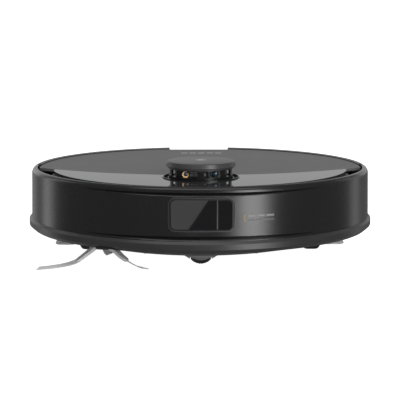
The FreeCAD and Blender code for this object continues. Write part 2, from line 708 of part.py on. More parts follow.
def caster():
    dome = lathe("dome_bowl", [
        (0, "dome_low"), (10.4, "dome_low"), ("dome_radius - 1", "dome_low + 4.3"),
        ("dome_radius", "dome_low + 6.5"), ("dome_radius", 22), (13, 31), (6, 35), (0, 35),
    ], (0, "caster_y", 0))
    stem = cylinder("caster_stem", "stem_pin", 12, (0, "caster_y", 33.5))
    cap = fuse("caster_cap", dome, stem)
    slot = cylinder(
        "caster_slot", "caster_radius + 0.6", "2 * caster_half + 1.4",
        ("-caster_half - 0.7", "caster_y", "caster_radius"), "x",
    )
    hole = cylinder("caster_pin_hole", 2, 40, (-20, "caster_y", "caster_radius"), "x")
    node(cut("fork_cut", cap, slot, hole), "caster_fork")
    node(cylinder("caster_pin", 2, 30, (-15, "caster_y", "caster_radius"), "x"), "caster_axle")
    drum = sphere("caster_drum", "caster_radius", (0, "caster_y", "caster_radius"))
    drum.Placement.Rotation = turned("x")
    half_angle = "asin(caster_half / caster_radius)"
    bind(drum, Angle1="-" + half_angle, Angle2=half_angle)
    bore = cylinder("caster_drum_bore", "2 + running_gap", 40, (-20, "caster_y", "caster_radius"), "x")
    node(cut("caster_wheel_cut", drum, bore), "caster_wheel")


# ---------------------------------------------------------------- roller brush

def gear_face(teeth, turn):
    """A spur gear's outline: involute flanks, with a tooth slightly thinner than its space."""
    module, pressure, backlash = value("gear_module"), math.radians(20), 0.12
    pitch = module * teeth / 2
    tip, root, base = pitch + module, pitch - 1.25 * module, pitch * math.cos(pressure)
    half = (math.pi * module / 2 - backlash) / (2 * pitch) + math.tan(pressure) - pressure
    flank = []
    for step in range(5):
        radius = max(base, root) + (tip - max(base, root)) * step / 4
        roll = math.acos(min(1.0, base / radius))
        flank.append((radius, half - (math.tan(roll) - roll)))
    points = []
    for tooth in range(teeth):
        middle = turn + 2 * math.pi * tooth / teeth
        rising = [(root, half)] + flank
        for radius, angle in [(r, -a) for r, a in rising] + rising[::-1]:
            points.append(V(radius * math.cos(middle + angle), radius * math.sin(middle + angle), 0))
    return Part.Face(Part.makePolygon(points + points[:1]))


def gear(name, teeth, turn, height):
    """A gear on an axis along X, at a height over the roller's axis."""
    solid = doc.addObject("Part::Feature", name)
    solid.Shape = gear_face(int(value(teeth)), turn).extrude(V(0, 0, value("gear_width")))
    rotation = turned("x")
    spot = V(value("gear_left"), value("roller_y"), value(height))
    solid.Placement = FreeCAD.Placement(spot, rotation)
    return solid


def roller():
    axis = ("roller_y", "roller_z")
    core = cylinder("core_rod", "roller_core", "2 * roller_half", ("-roller_half", *axis), "x")
    pin = cylinder("core_pin", 3, "92 + 89.5", (-92, *axis), "x")
    node(fuse("core_all", core, pin), "roller_core")

    def fin(name):
        low = ("0.5 - roller_half", -0.9, "roller_core - 0.5")
        return box(name, low, ("roller_half - 0.5", 0.9, "roller_radius"))
    fins = []
    for index in range(6):
        blade = fin(f"fin_{index}")
        doc.recompute()
        placed = doc.addObject("Part::Feature", f"fin_placed_{index}")
        placed.Shape = blade.Shape
        spin = FreeCAD.Rotation(V(1, 0, 0), 60 * index)
        turn = FreeCAD.Placement(V(0, value("roller_y"), value("roller_z")), spin)
        placed.Placement = turn.multiply(blade.Placement)
        fins.append(placed)
    shaft = cylinder("fin_bore", "roller_core", 200, (-100, *axis), "x")
    node(cut("fins_cut", fuse("fins_all", *fins), shaft), "roller_fins")

    idler_z = "roller_z + gear_module * (gear_teeth + idler_teeth) / 2"
    pinion_z = idler_z + " + gear_module * (idler_teeth + pinion_teeth) / 2"
    # The gears' own X points down: a tooth of each gear meets a space of the next one up.
    big = gear("gear_blank", "gear_teeth", 0, "roller_z")
    node(cut("gear_cut", big, cylinder("gear_bore", 3, 20, (-95, *axis), "x")), "roller_gear")
    half_pitch = math.pi / value("idler_teeth")
    idler = gear("idler_blank", "idler_teeth", half_pitch, idler_z)
    bore = cylinder("idler_bore", "2 + running_gap", 20, (-95, "roller_y", idler_z), "x")
    node(cut("idler_cut", idler, bore), "idler_gear")
    # The idler's top carries a space, because it has an even number of teeth.
    small = gear("pinion_blank", "pinion_teeth", 0, pinion_z)
    shaft = cylinder("pinion_shaft", 1.5, 44, (-92, "roller_y", pinion_z), "x")
    rotor = cylinder("pinion_rotor", 9, 32, (-81.5, "roller_y", pinion_z), "x")
    node(fuse("pinion_all", small, shaft, rotor), "motor_pinion")
    can = cylinder("roller_can", 11.8, 40, (-85.5, "roller_y", pinion_z), "x")
    can_space = cylinder("roller_can_space", 9.8, 36, (-83.5, "roller_y", pinion_z), "x")
    can_bore = cylinder("roller_can_bore", 1.56, 8, (-86, "roller_y", pinion_z), "x")
    node(cut("roller_motor_cut", can, can_space, can_bore), "roller_motor")
    chamber(axis, idler_z)


def chamber(axis, idler_z):
    """The arch over the roller, with its end walls and the dust outlet."""
    shell = cylinder("arch_shell", "chamber_radius", "2 * chamber_half", ("-chamber_half", *axis), "x")
    above = box("arch_above", (-90, -60, "floor_top"), (90, 30, 60))
    idler_pin = cylinder("idler_pin", 2, 7, (-92.6, "roller_y", idler_z), "x")
    arch = fuse("arch_all", common("arch", shell, above), idler_pin)
    end = ("-roller_half - 0.3", *axis)
    hollow = cylinder("arch_hollow", "chamber_radius - 2.7", "2 * roller_half + 0.6", end, "x")
    bore = cylinder("arch_bore", "3 + running_gap", 200, (-100, *axis), "x")
    outlet = box("arch_outlet", (-30, 0, 27), (30, 30, 40))
    node(cut("arch_cut", arch, hollow, bore, outlet), "brush_chamber")
    frame = box("guard_plate", (-91.5, -41, 11.4), (91.5, 17, "floor_bottom"))
    hole = box("guard_hole", (-86, -34.5, 0), (86, 10.5, 30))
    bars = [box(f"guard_bar_{x}", (x - 1, -35, 11.4), (x + 1, -32, "floor_bottom")) for x in (-50, 0, 50)]
    node(fuse("guard_all", cut("guard_cut", frame, hole), *bars), "brush_guard")


# ---------------------------------------------------------------- side brush and fan

def sweeper():
    disc = cylinder("sweeper_disc", "sweeper_hub", "hub_top - hub_bottom", (*SWEEPER, "hub_bottom"))
    shaft = cylinder("sweeper_shaft", 2.5, 10, (*SWEEPER, "hub_top - 1"))
    node(fuse("sweeper_hub_all", disc, shaft), "side_brush_hub")

    def arm(name):
        holder = doc.addObject("Part::Box", name + "_holder")
        bind(holder, Length=24, Width=8, Height=2.6)
        holder.Placement = FreeCAD.Placement(V(), FreeCAD.Rotation(V(0, 1, 0), 32))
        place(holder, ("sweeper_x + sweeper_hub - 1.5", "sweeper_y - 4", "hub_bottom - 0.5"))
        blade = doc.addObject("Part::Box", name + "_blade")
        bind(blade, Length="sweeper_reach - 28", Width=6, Height=1.2)
        blade.Placement = FreeCAD.Placement(V(), FreeCAD.Rotation(V(0, 1, 0), 3))
        place(blade, ("sweeper_x + 28", "sweeper_y - 3", 3.6))
        return fuse(name, holder, blade)
    arms = polar("sweeper_arm", arm, 3, value("arm_start"), SWEEPER)
    hub_space = cylinder("arm_hub_space", "sweeper_hub", 20, (*SWEEPER, 4))
    node(cut("arms_cut", fuse("arms_all", *arms), hub_space), "side_brush_arms")
    # cross-headed screw under the middle of the hub
    node(cylinder("sweeper_screw", 3, 1.4, (*SWEEPER, "hub_bottom - 1.4")), "side_brush_screw")


def fan():
    at = ("fan_x", "fan_y")
    shell = cylinder("fan_shell", "fan_radius", "fan_high - fan_low", (*at, "fan_low"))
    space = cylinder("fan_space", "fan_radius - 2.5", "fan_high - fan_low - 5", (*at, "fan_low + 2.5"))
    inlet = cylinder("fan_inlet", 9, 10, (*at, "fan_low - 1"))
    outlet = box("fan_outlet", ("fan_x + 4", 0, "fan_low + 8"), ("fan_x + 18", 30, "fan_low + 22"))
    post = cylinder("fan_post", 2, 18, (*at, "fan_high - 19"))
    node(fuse("fan_case", cut("fan_cut", shell, space, inlet, outlet), post), "fan_housing")
    disc = cylinder("fan_disc", 22, 1.6, (*at, "fan_low + 5"))
    hub = cylinder("fan_hub", 6, 13, (*at, "fan_low + 5"))

    def blade(name):
        low = ("fan_x + 5", "fan_y - 0.7", "fan_low + 6")
        return box(name, low, ("fan_x + 21.5", "fan_y + 0.7", "fan_low + 14"))
    blades = polar("fan_blade", blade, 9, 0, at)
    bore = cylinder("fan_bore", "2 + running_gap", 30, (*at, "fan_high - 19.5"))
    node(cut("impeller_cut", fuse("impeller_all", disc, hub, *blades), bore), "fan_impeller")


# ---------------------------------------------------------------- tank and mop

def tank():
    silhouette = lathe("tank_silhouette", [
        (0, 10), ("lip_radius - 6", 18), ("lip_radius", "lip_bottom"), ("skirt_radius", "skirt_bottom"),
        ("skirt_radius", "skirt_top"), ("body_radius + 0.9", "seam_height"),
        ("body_radius + 0.5", "seam_height + 3"), ("body_radius", "tank_high + 1"), (0, "tank_high + 1"),
    ])
    block = box("tank_block", ("-tank_half", "tank_front", "tank_low"), ("tank_half", 190, "tank_high"))
    inner = box("tank_inner", (
        "-tank_half + tank_wall", "tank_front + tank_wall", "tank_low + tank_wall",
    ), ("tank_half - tank_wall", 148, "tank_high - tank_wall"))
    inlet = box("tank_inlet", (-28, 20, 27), (28, 60, 42))
    latch_pocket = box("latch_pocket", (-14.3, 151.7, 72.4), (14.3, 168.3, 90))
    filter_hole = box("filter_hole", (35.8, 20, 29.8), (66.2, 40, 70.2))
    plug_hole = cylinder("plug_hole", 9, 10, (-50, 90, 74))
    tools = [inner, inlet, latch_pocket, filter_hole, plug_hole]
    node(cut("tank_cut", common("tank_solid", block, silhouette), *tools), "tank_body")
    node(box("filter_block", (36, "tank_front + 0.3", 30), (66, "tank_front + 8", 70)), "tank_filter")
    plug = cylinder("plug_disc", 9, "tank_wall + 0.5", (-50, 90, "tank_high - tank_wall"))
    node(plug, "tank_plug")
    node(box("latch_block", (-14, 152, 75), (14, 168, 79.3)), "tank_latch")


def mop():
    def shape(name, inset, low, high):
        disc = cylinder(name + "_disc", f"mop_radius - {inset}", f"{high} - {low}", (0, 0, low))
        keep = box(
            name + "_keep", (f"{inset} - mop_half", f"wing_front + {inset}", -1),
            (f"mop_half - {inset}", 200, 20),
        )
        front = box(
            name + "_front", (f"-mop_wing - {inset}", 0, -2),
            (f"mop_wing + {inset}", f"mop_front + {inset}", 30),
        )
        return cut(name, common(name + "_round", disc, keep), front)
    node(shape("cloth_shape", 0, 0, "cloth_thickness"), "mop_cloth")
    plate = shape("bracket_shape", 2.5, "cloth_thickness", "bracket_top")
    bosses = [cylinder(f"bracket_boss_{x}", 9, 5.2, (x, 95, 8.5)) for x in (-60, 60)]
    node(fuse("bracket_all", plate, *bosses), "mop_bracket")


# ---------------------------------------------------------------- build and write

chassis()
fittings()
rear_shell()
lid()
buttons()
bumper()
turret()
for side, hand in ((-1, "left"), (1, "right")):
    drive_side(side, hand)
caster()
roller()
sweeper()
fan()
tank()
mop()
doc.recompute()

faults = [thing.Name for thing in doc.Objects if {"Invalid", "Error"} & set(thing.State)]
for part in nodes:
    if part.Shape.isNull() or not part.Shape.isValid() or not part.Shape.Solids:
        faults.append("shape of " + part.Label)
if faults:
    raise RuntimeError("not built: " + ", ".join(faults))

os.makedirs("parts", exist_ok=True)
for part in nodes:
    part.Shape.exportStep(f"parts/{part.Label}.step")
    print(part.Label, len(part.Shape.Solids), round(part.Shape.Volume / 1000, 2))
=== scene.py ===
import json
import math

import bmesh
import bpy
import numpy as np
from mathutils import Matrix, Vector


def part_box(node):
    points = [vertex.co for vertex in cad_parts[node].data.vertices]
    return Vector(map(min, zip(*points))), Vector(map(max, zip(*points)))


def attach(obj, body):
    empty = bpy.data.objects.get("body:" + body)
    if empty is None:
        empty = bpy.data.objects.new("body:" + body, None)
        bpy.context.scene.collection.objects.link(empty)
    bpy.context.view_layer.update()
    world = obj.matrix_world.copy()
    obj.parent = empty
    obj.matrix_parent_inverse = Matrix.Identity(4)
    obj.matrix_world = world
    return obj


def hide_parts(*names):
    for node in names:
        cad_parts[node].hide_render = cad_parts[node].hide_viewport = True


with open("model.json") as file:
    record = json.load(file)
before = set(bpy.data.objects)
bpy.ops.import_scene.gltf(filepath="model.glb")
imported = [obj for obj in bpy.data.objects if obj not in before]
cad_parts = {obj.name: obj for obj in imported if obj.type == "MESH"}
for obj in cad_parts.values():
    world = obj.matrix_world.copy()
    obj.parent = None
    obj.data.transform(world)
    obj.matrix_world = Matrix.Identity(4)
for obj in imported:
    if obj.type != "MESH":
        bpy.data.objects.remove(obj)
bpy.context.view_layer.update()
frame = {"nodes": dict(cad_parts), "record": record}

MM = 0.001
NODES = frame["nodes"]


# ---------------------------------------------------------------- frame sizes

SKIRT_LOW, SKIRT_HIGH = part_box("bumper_skirt")
WALL_LOW, WALL_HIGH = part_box("bumper_shell")
LID_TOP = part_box("top_cover")[1].z
CAP_LOW, CAP_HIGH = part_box("turret_cap")
TURRET_Y = (CAP_LOW.y + CAP_HIGH.y) / 2
TURRET = Vector((0, TURRET_Y, 0))
BODY_RADIUS = 173 * MM
SKIRT_RADIUS = SKIRT_HIGH.x
# the bumper ends this far behind the body's middle, and its wall leans out by so much
HALF_END = WALL_HIGH.y
WALL_LEAN = 0.8 * MM
SHOULDER = 4.8 * MM
# the sensor window: corner radius of its frame, and radius of its bent front
BEZEL_ROUND = 6.5 * MM
WINDOW_CURVE = 420 * MM
# the notch in the skirt over the side brush: its middle, half width, and the arc of its top
ARCH_X = -89.5 * MM
ARCH_HALF = 13.5 * MM
ARCH_RADIUS = 31.9 * MM
ARCH_DROP = 28.9 * MM
# where a brush arm steps down from holder to blade, in mm from the brush's middle
HOLDER_REACH = 28
# how far the print stands proud of the wall, and how deep it sits in it
PRINT_PROUD = 0.05 * MM
PRINT_DEEP = 0.2 * MM
# the tyre's crown starts here, and is cut by so many grooves, so deep
CROWN_RADIUS = 33 * MM
TREAD_COUNT = 32
TREAD_DEPTH = 1.3 * MM
# the mop's wings, and the front edge between them
MOP_WING = 131 * MM
MOP_FRONT = 38 * MM

# the studio: grey of the surround, floor, where the cards aim, and the camera
SURROUND = (0.20, 0.20, 0.204)
FLOOR_RADIUS = 2000.0
CARD_AIM = Vector((0, 0, 0.05))
CAMERA_LENS = 120.9
CAMERA_SPOT = (-0.0128, -1.384, 0.2575)
CAMERA_AIM = Vector((0, 0, 0.050))
SCREEN_Y = -1.10


# ---------------------------------------------------------------- mesh helpers

def add_object(name, bm):
    """An object at the origin, made of that mesh, with its normals facing out."""
    bmesh.ops.recalc_face_normals(bm, faces=bm.faces)
    mesh = bpy.data.meshes.new(name)
    bm.to_mesh(mesh)
    bm.free()
    piece = bpy.data.objects.new(name, mesh)
    bpy.context.scene.collection.objects.link(piece)
    return piece


def shade(piece, angle=35):
    """Smooth shading that keeps every edge sharper than the angle crisp."""
    bm = bmesh.new()
    bm.from_mesh(piece.data)
    limit = math.radians(angle)
    for face in bm.faces:
        face.smooth = True
    for edge in bm.edges:
        edge.smooth = edge.calc_face_angle(0) < limit
    bm.to_mesh(piece.data)
    bm.free()
    weighted = piece.modifiers.new("weighted", "WEIGHTED_NORMAL")
    weighted.keep_sharp = True
    weighted.weight = 100
    return settle(piece)


def settle(piece):
    """Applies the piece's modifiers to its mesh."""
    graph = bpy.context.evaluated_depsgraph_get()
    mesh = bpy.data.meshes.new_from_object(piece.evaluated_get(graph))
    piece.modifiers.clear()
    piece.data = mesh
    return piece


def bevelled(piece, width, segments=3, angle=30):
    """Rounds every edge sharper than the angle."""
    bevel = piece.modifiers.new("bevel", "BEVEL")
    bevel.width = width
    bevel.segments = segments
    bevel.limit_method = "ANGLE"
    bevel.angle_limit = math.radians(angle)
    return settle(piece)


def carved(piece, *tools):
    """Cuts the tools out of the piece and removes them."""
    for tool in tools:
        cut = piece.modifiers.new("cut", "BOOLEAN")
        cut.operation = "DIFFERENCE"
        cut.solver = "EXACT"
        cut.object = tool
        settle(piece)
        bpy.data.objects.remove(tool)
    return piece


def arc(cx, cz, radius, start, end, steps):
    """Points of an arc in the profile plane, angles in degrees."""
    angles = np.radians(np.linspace(start, end, steps))
    return [(cx + radius * math.cos(a), cz + radius * math.sin(a)) for a in angles]


def skin(bm, rows):
    """Joins each closed row of vertices to the next with a band of faces."""
    for one, two in zip(rows, rows[1:]):
        count = len(one)
        for k in range(count):
            after = (k + 1) % count
            bm.faces.new((one[k], one[after], two[after], two[k]))


def ring(name, profile, start=0.0, end=360.0, steps=256, centre=(0, 0), shift=None):
    """A closed profile of (radius, height) points turned about the vertical, in degrees from +X.

    shift(angle, radius, height) may move each point.
    """
    whole = abs(end - start - 360) < 1e-6
    bm = bmesh.new()
    rows = []
    for index in range(steps if whole else steps + 1):
        angle = math.radians(start + (end - start) * index / steps)
        row = []
        for radius, height in profile:
            if shift:
                radius, height = shift(angle, radius, height)
            x = centre[0] + radius * math.cos(angle)
            y = centre[1] + radius * math.sin(angle)
            row.append(bm.verts.new((x, y, height)))
        rows.append(row)
    skin(bm, rows + rows[:1] if whole else rows)
    if not whole:
        bm.faces.new(rows[0])
        bm.faces.new(rows[-1][::-1])
    bmesh.ops.remove_doubles(bm, verts=bm.verts, dist=1e-7)
    return add_object(name, bm)


def prism(name, outline, low, high, axis="z"):
    """A straight block on a flat outline, from low to high along the axis."""
    def spot(a, b, c):
        if axis == "y":
            return (a, c, b)
        if axis == "x":
            return (c, a, b)
        return (a, b, c)
    bm = bmesh.new()
    first = [bm.verts.new(spot(a, b, low)) for a, b in outline]
    second = [bm.verts.new(spot(a, b, high)) for a, b in outline]
    bm.faces.new(first)
    bm.faces.new(second[::-1])
    skin(bm, [first, second])
    return add_object(name, bm)


def rounded_box(low, high, radius, steps=8):
    """The outline of a rectangle with round corners."""
    points = []
    for cx, cy, start in (
        (high[0] - radius, high[1] - radius, 0), (low[0] + radius, high[1] - radius, 90),
        (low[0] + radius, low[1] + radius, 180), (high[0] - radius, low[1] + radius, 270),
    ):
        points += arc(cx, cy, radius, start, start + 90, steps)
    return points


def finer(node, name, width=0.35 * MM, angle=40):
    """The node's own shape with its sharp edges eased, as a piece that replaces it."""
    bm = bmesh.new()
    bm.from_mesh(NODES[node].data)
    bmesh.ops.remove_doubles(bm, verts=bm.verts, dist=1e-6)
    flat = math.radians(0.5)
    bmesh.ops.dissolve_limit(bm, angle_limit=flat, verts=bm.verts, edges=bm.edges)
    piece = add_object(name, bm)
    return shade(bevelled(piece, width, 2, angle), 50)


def eased(points, radius, steps=4):
    """A closed outline with each corner rounded, by less where its sides are short."""
    rounded = []
    count = len(points)
    for k, corner in enumerate(points):
        here = Vector(corner)
        back = Vector(points[k - 1]) - here
        ahead = Vector(points[(k + 1) % count]) - here
        turn = back.angle(ahead)
        if math.pi - turn < math.radians(12):
            rounded.append(tuple(here))
            continue
        reach = min(radius / math.tan(turn / 2), 0.45 * back.length, 0.45 * ahead.length)
        first, last = here + back.normalized() * reach, here + ahead.normalized() * reach
        for step in range(steps + 1):
            t = step / steps
            spot = first * (1 - t) ** 2 + here * 2 * t * (1 - t) + last * t ** 2
            rounded.append(tuple(spot))
    return rounded


def moved(piece, matrix):
    """Moves the piece's mesh, so that its object stays at the origin."""
    piece.data.transform(matrix)
    return piece


def along_x(piece, centre):
    """Lays a piece turned about the vertical along X, round the given centre."""
    lay = Matrix(((0, 0, 1), (1, 0, 0), (0, 1, 0))).to_4x4()
    return moved(piece, Matrix.Translation(centre) @ lay)


def smooth(points, steps):
    """A soft curve through the points, given as tuples of any length."""
    rows = [np.array(p, dtype=float) for p in points]
    rows = [2 * rows[0] - rows[1]] + rows + [2 * rows[-1] - rows[-2]]
    curve = []
    for a, b, c, d in zip(rows, rows[1:], rows[2:], rows[3:]):
        for t in np.linspace(0, 1, steps, endpoint=False):
            curve.append(0.5 * (2 * b + (c - a) * t + (2 * a - 5 * b + 4 * c - d) * t ** 2
                                + (3 * b - a - 3 * c + d) * t ** 3))
    return curve + [rows[-2]]


def swept(name, path, section):
    """A strip along a path; section(t) gives the corners as (side, up, ahead) offsets."""
    bm = bmesh.new()
    rows = []
    count = len(path)
    for k, spot in enumerate(path):
        here = Vector(spot)
        behind, beyond = Vector(path[max(k - 1, 0)]), Vector(path[min(k + 1, count - 1)])
        ahead = (beyond - behind).normalized()
        side = ahead.cross(Vector((0, 0, 1))).normalized()
        up = side.cross(ahead)
        corners = section(k / (count - 1))
        rows.append([bm.verts.new(here + side * a + up * b + ahead * c) for a, b, c in corners])
    bridge(bm, rows)
    return add_object(name, bm)


def bridge(bm, rows):
    """Skins closed rows of vertices and caps both ends."""
    skin(bm, rows)
    bm.faces.new(rows[0])
    bm.faces.new(rows[-1][::-1])


def joined(name, pieces):
    """One piece made of several closed solids."""
    bm = bmesh.new()
    for piece in pieces:
        bm.from_mesh(piece.data)
        bpy.data.objects.remove(piece)
    return add_object(name, bm)


def block(low, high, radius=0.2 * MM, name="block"):
    """A box with eased edges."""
    corners = [(low[0], low[1]), (high[0], low[1]), (high[0], high[1]), (low[0], high[1])]
    return bevelled(prism(name, corners, low[2], high[2]), radius, 2)


def put(piece, body, slot, material, *nodes):
    """Gives the piece its material, its body and the nodes it stands for; the slot is not used."""
    piece.data.materials.clear()
    piece.data.materials.append(material)
    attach(piece, body)
    if nodes:
        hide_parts(*nodes)
    return piece


# ---------------------------------------------------------------- materials

def node_material(name, colour, roughness, metallic=0.0):
    """A new material, its node tree and its shader."""
    material = bpy.data.materials.new(name)
    material.use_nodes = True
    shader = material.node_tree.nodes["Principled BSDF"]
    shader.inputs["Base Color"].default_value = (*colour, 1)
    shader.inputs["Roughness"].default_value = roughness
    shader.inputs["Metallic"].default_value = metallic
    return material, material.node_tree, shader


def texture(tree, kind, scale, detail=2.0, stretch=(1, 1, 1)):
    """A procedural texture on the object's own coordinates."""
    place = tree.nodes.new("ShaderNodeTexCoord")
    mapping = tree.nodes.new("ShaderNodeMapping")
    mapping.inputs["Scale"].default_value = stretch
    tree.links.new(place.outputs["Object"], mapping.inputs["Vector"])
    pattern = tree.nodes.new(kind)
    pattern.inputs["Scale"].default_value = scale
    if "Detail" in pattern.inputs:
        pattern.inputs["Detail"].default_value = detail
    tree.links.new(mapping.outputs["Vector"], pattern.inputs["Vector"])
    return pattern


def ramp(tree, source, low, high, span=(0.3, 0.7)):
    """Maps a texture's value onto a range of numbers."""
    mapped = tree.nodes.new("ShaderNodeMapRange")
    mapped.inputs["From Min"].default_value = span[0]
    mapped.inputs["From Max"].default_value = span[1]
    mapped.inputs["To Min"].default_value = low
    mapped.inputs["To Max"].default_value = high
    tree.links.new(source, mapped.inputs["Value"])
    return mapped.outputs["Result"]


def bump(tree, shader, source, distance, strength):
    """Surface relief from a texture's value."""
    relief = tree.nodes.new("ShaderNodeBump")
    relief.inputs["Distance"].default_value = distance
    relief.inputs["Strength"].default_value = strength
    tree.links.new(source, relief.inputs["Height"])
    tree.links.new(relief.outputs["Normal"], shader.inputs["Normal"])


def tinted(tree, shader, source, dark, light):
    """The base colour wanders between two shades."""
    blend = tree.nodes.new("ShaderNodeMix")
    blend.data_type = "RGBA"
    blend.inputs["A"].default_value = (*dark, 1)
    blend.inputs["B"].default_value = (*light, 1)
    tree.links.new(source, blend.inputs["Factor"])
    tree.links.new(blend.outputs["Result"], shader.inputs["Base Color"])


def plastic(name, colour, roughness, grain=900, relief=0.02 * MM, spread=0.12, coat=0.0):
    """Moulded plastic: fine spark-eroded grain, uneven gloss and a faint change of tone."""
    material, tree, shader = node_material(name, colour, roughness)
    fine = texture(tree, "ShaderNodeTexNoise", grain, 3)
    broad = texture(tree, "ShaderNodeTexNoise", 22, 4)
    light = tuple(c * (1 + spread) for c in colour)
    dark = tuple(c * (1 - spread) for c in colour)
    tinted(tree, shader, ramp(tree, broad.outputs["Fac"], 0, 1), dark, light)
    gloss = ramp(tree, broad.outputs["Fac"], roughness * 0.95, roughness * 1.05)
    tree.links.new(gloss, shader.inputs["Roughness"])
    bump(tree, shader, fine.outputs["Fac"], relief, 0.6)
    if coat:
        shader.inputs["Coat Weight"].default_value = coat
        shader.inputs["Coat Roughness"].default_value = 0.04
    return material


def metal(name, colour, roughness, stretch=(1, 1, 1), scale=700):
    """Turned or drawn metal: fine lines one way, and roughness that follows them."""
    material, tree, shader = node_material(name, colour, roughness, 1.0)
    lines = texture(tree, "ShaderNodeTexNoise", scale, 2, stretch)
    broad = texture(tree, "ShaderNodeTexNoise", 60, 3)
    dark = tuple(0.8 * c for c in colour)
    tinted(tree, shader, ramp(tree, broad.outputs["Fac"], 0, 1), dark, colour)
    gloss = ramp(tree, lines.outputs["Fac"], 0.7 * roughness, 1.4 * roughness)
    tree.links.new(gloss, shader.inputs["Roughness"])
    bump(tree, shader, lines.outputs["Fac"], 0.01 * MM, 0.5)
    return material


def circuit_board():
    """Green solder mask with the tracks showing through."""
    material, tree, shader = node_material("circuit_board", (0.02, 0.12, 0.05), 0.35)
    tracks = texture(tree, "ShaderNodeTexBrick", 110)
    tracks.inputs["Mortar Size"].default_value = 0.035
    tinted(tree, shader, tracks.outputs["Fac"], (0.015, 0.11, 0.045), (0.10, 0.26, 0.08))
    bump(tree, shader, tracks.outputs["Fac"], 0.05 * MM, 0.6)
    return material


def microfibre():
    """A looped pile: clumps of short fibres, with painted shade that darkens the hollows between clumps
    and leaves their tops lighter, and a soft sheen.
    """
    material, tree, shader = node_material("microfibre", (0.78, 0.78, 0.77), 0.95)
    clumps = texture(tree, "ShaderNodeTexVoronoi", 620)
    fibres = texture(tree, "ShaderNodeTexNoise", 2600, 4)
    # painted shade: the colour darkens away from each clump's middle, towards the low hollows of the
    # relief between clumps
    tinted(tree, shader, ramp(tree, clumps.outputs["Distance"], 0, 1, (0.0, 0.7)),
           (0.86, 0.86, 0.85), (0.60, 0.60, 0.60))
    both = tree.nodes.new("ShaderNodeMath")
    both.operation = "SUBTRACT"
    tree.links.new(fibres.outputs["Fac"], both.inputs[0])
    tree.links.new(clumps.outputs["Distance"], both.inputs[1])
    bump(tree, shader, both.outputs["Value"], 0.5 * MM, 0.8)
    shader.inputs["Sheen Weight"].default_value = 0.5
    shader.inputs["Sheen Roughness"].default_value = 0.4
    return material


def pleated_paper():
    """Filter paper folded into narrow upright pleats, with painted shade darkening the folds between
    them.
    """
    material, tree, shader = node_material("pleated_paper", (0.80, 0.79, 0.74), 0.9)
    pleats = texture(tree, "ShaderNodeTexWave", 130)
    fibres = texture(tree, "ShaderNodeTexNoise", 1500, 4)
    # painted shade: darker in the low folds of the pleats and lighter on their ridges, following the
    # relief
    tinted(tree, shader, pleats.outputs["Fac"], (0.55, 0.54, 0.50), (0.85, 0.84, 0.79))
    both = tree.nodes.new("ShaderNodeMath")
    both.operation = "MULTIPLY_ADD"
    both.inputs[1].default_value = 0.1
    tree.links.new(fibres.outputs["Fac"], both.inputs[0])
    tree.links.new(pleats.outputs["Fac"], both.inputs[2])
    bump(tree, shader, both.outputs["Value"], 0.8 * MM, 0.8)
    return material


def coated_lens(name, colour):
    """Dark optical glass under a tinted coating that pales and deepens across the lens."""
    material, tree, shader = node_material(name, colour, 0.05)
    haze = texture(tree, "ShaderNodeTexNoise", 240, 1)
    dark = tuple(0.4 * c for c in colour)
    tinted(tree, shader, ramp(tree, haze.outputs["Fac"], 0, 1), dark, colour)
    shader.inputs["Coat Weight"].default_value = 1.0
    shader.inputs["Coat Roughness"].default_value = 0.02
    return material


def painted_glow_amber():
    """The emitter's amber ring, uneven round its edge, with a painted glow: it gives off light though it
    is no lamp.
    """
    material, tree, shader = node_material("amber_ring_painted_glow", (0.6, 0.32, 0.10), 0.3)
    wander = texture(tree, "ShaderNodeTexNoise", 500, 2)
    tinted(tree, shader, ramp(tree, wander.outputs["Fac"], 0, 1),
           (0.55, 0.26, 0.07), (0.95, 0.66, 0.32))
    # painted glow: the ring emits a faint light of its own, though it is no lamp
    shader.inputs["Emission Color"].default_value = (1.0, 0.62, 0.28, 1)
    shader.inputs["Emission Strength"].default_value = 0.12
    return material


# smooth, shiny shells
GLOSS = plastic("gloss_shell", (0.0065, 0.0065, 0.0068), 0.27, 300, 0.004 * MM, 0.05)
MIRROR = plastic("gloss_panel", (0.030, 0.030, 0.031), 0.05, 300, 0.001 * MM, 0.04)
MIRROR.node_tree.nodes["Principled BSDF"].inputs["Specular IOR Level"].default_value = 0.08
WINDOW = plastic("window_black", (0.003, 0.003, 0.0035), 0.03, 300, 0.0005 * MM, 0.04)
# lighter grey trim; on the window's fine edge this colour is a painted highlight
TRIM_AND_HIGHLIGHT = plastic("edge_trim_and_highlight", (0.055, 0.055, 0.056), 0.30, 900, 0.006 * MM)
# grained plastics and rubbers
SATIN = plastic("satin_shell", (0.020, 0.020, 0.021), 0.38, 1500, 0.010 * MM)
CAP = plastic("cap_shell", (0.042, 0.042, 0.043), 0.38, 1500, 0.008 * MM)
LID = plastic("matte_lid", (0.135, 0.135, 0.137), 0.55, 2600, 0.030 * MM, 0.04)
FRAME = plastic("dark_frame", (0.010, 0.010, 0.011), 0.45, 1200)
GREY = plastic("grey_moulding", (0.20, 0.20, 0.205), 0.42, 1200)
RUBBER = plastic("wheel_rubber", (0.012, 0.012, 0.012), 0.62, 1800, 0.05 * MM)
TANK = plastic("tank_shell", (0.028, 0.028, 0.030), 0.34, 900, 0.008 * MM)
ROLLER = plastic("roller_rubber", (0.055, 0.055, 0.060), 0.55, 1500, 0.04 * MM)
BRUSH = plastic("brush_vane", (0.52, 0.52, 0.52), 0.40, spread=0.10)
PALE = plastic("pale_plate", (0.70, 0.70, 0.70), 0.45, spread=0.05)
ACETAL = plastic("gear_acetal", (0.72, 0.71, 0.66), 0.35, 800, 0.01 * MM, 0.03)
WRAP = plastic("battery_film", (0.03, 0.06, 0.22), 0.30, 120, 0.15 * MM, 0.15, 0.4)
BELT = plastic("belt_rubber", (0.020, 0.020, 0.020), 0.7, 2500, 0.06 * MM)
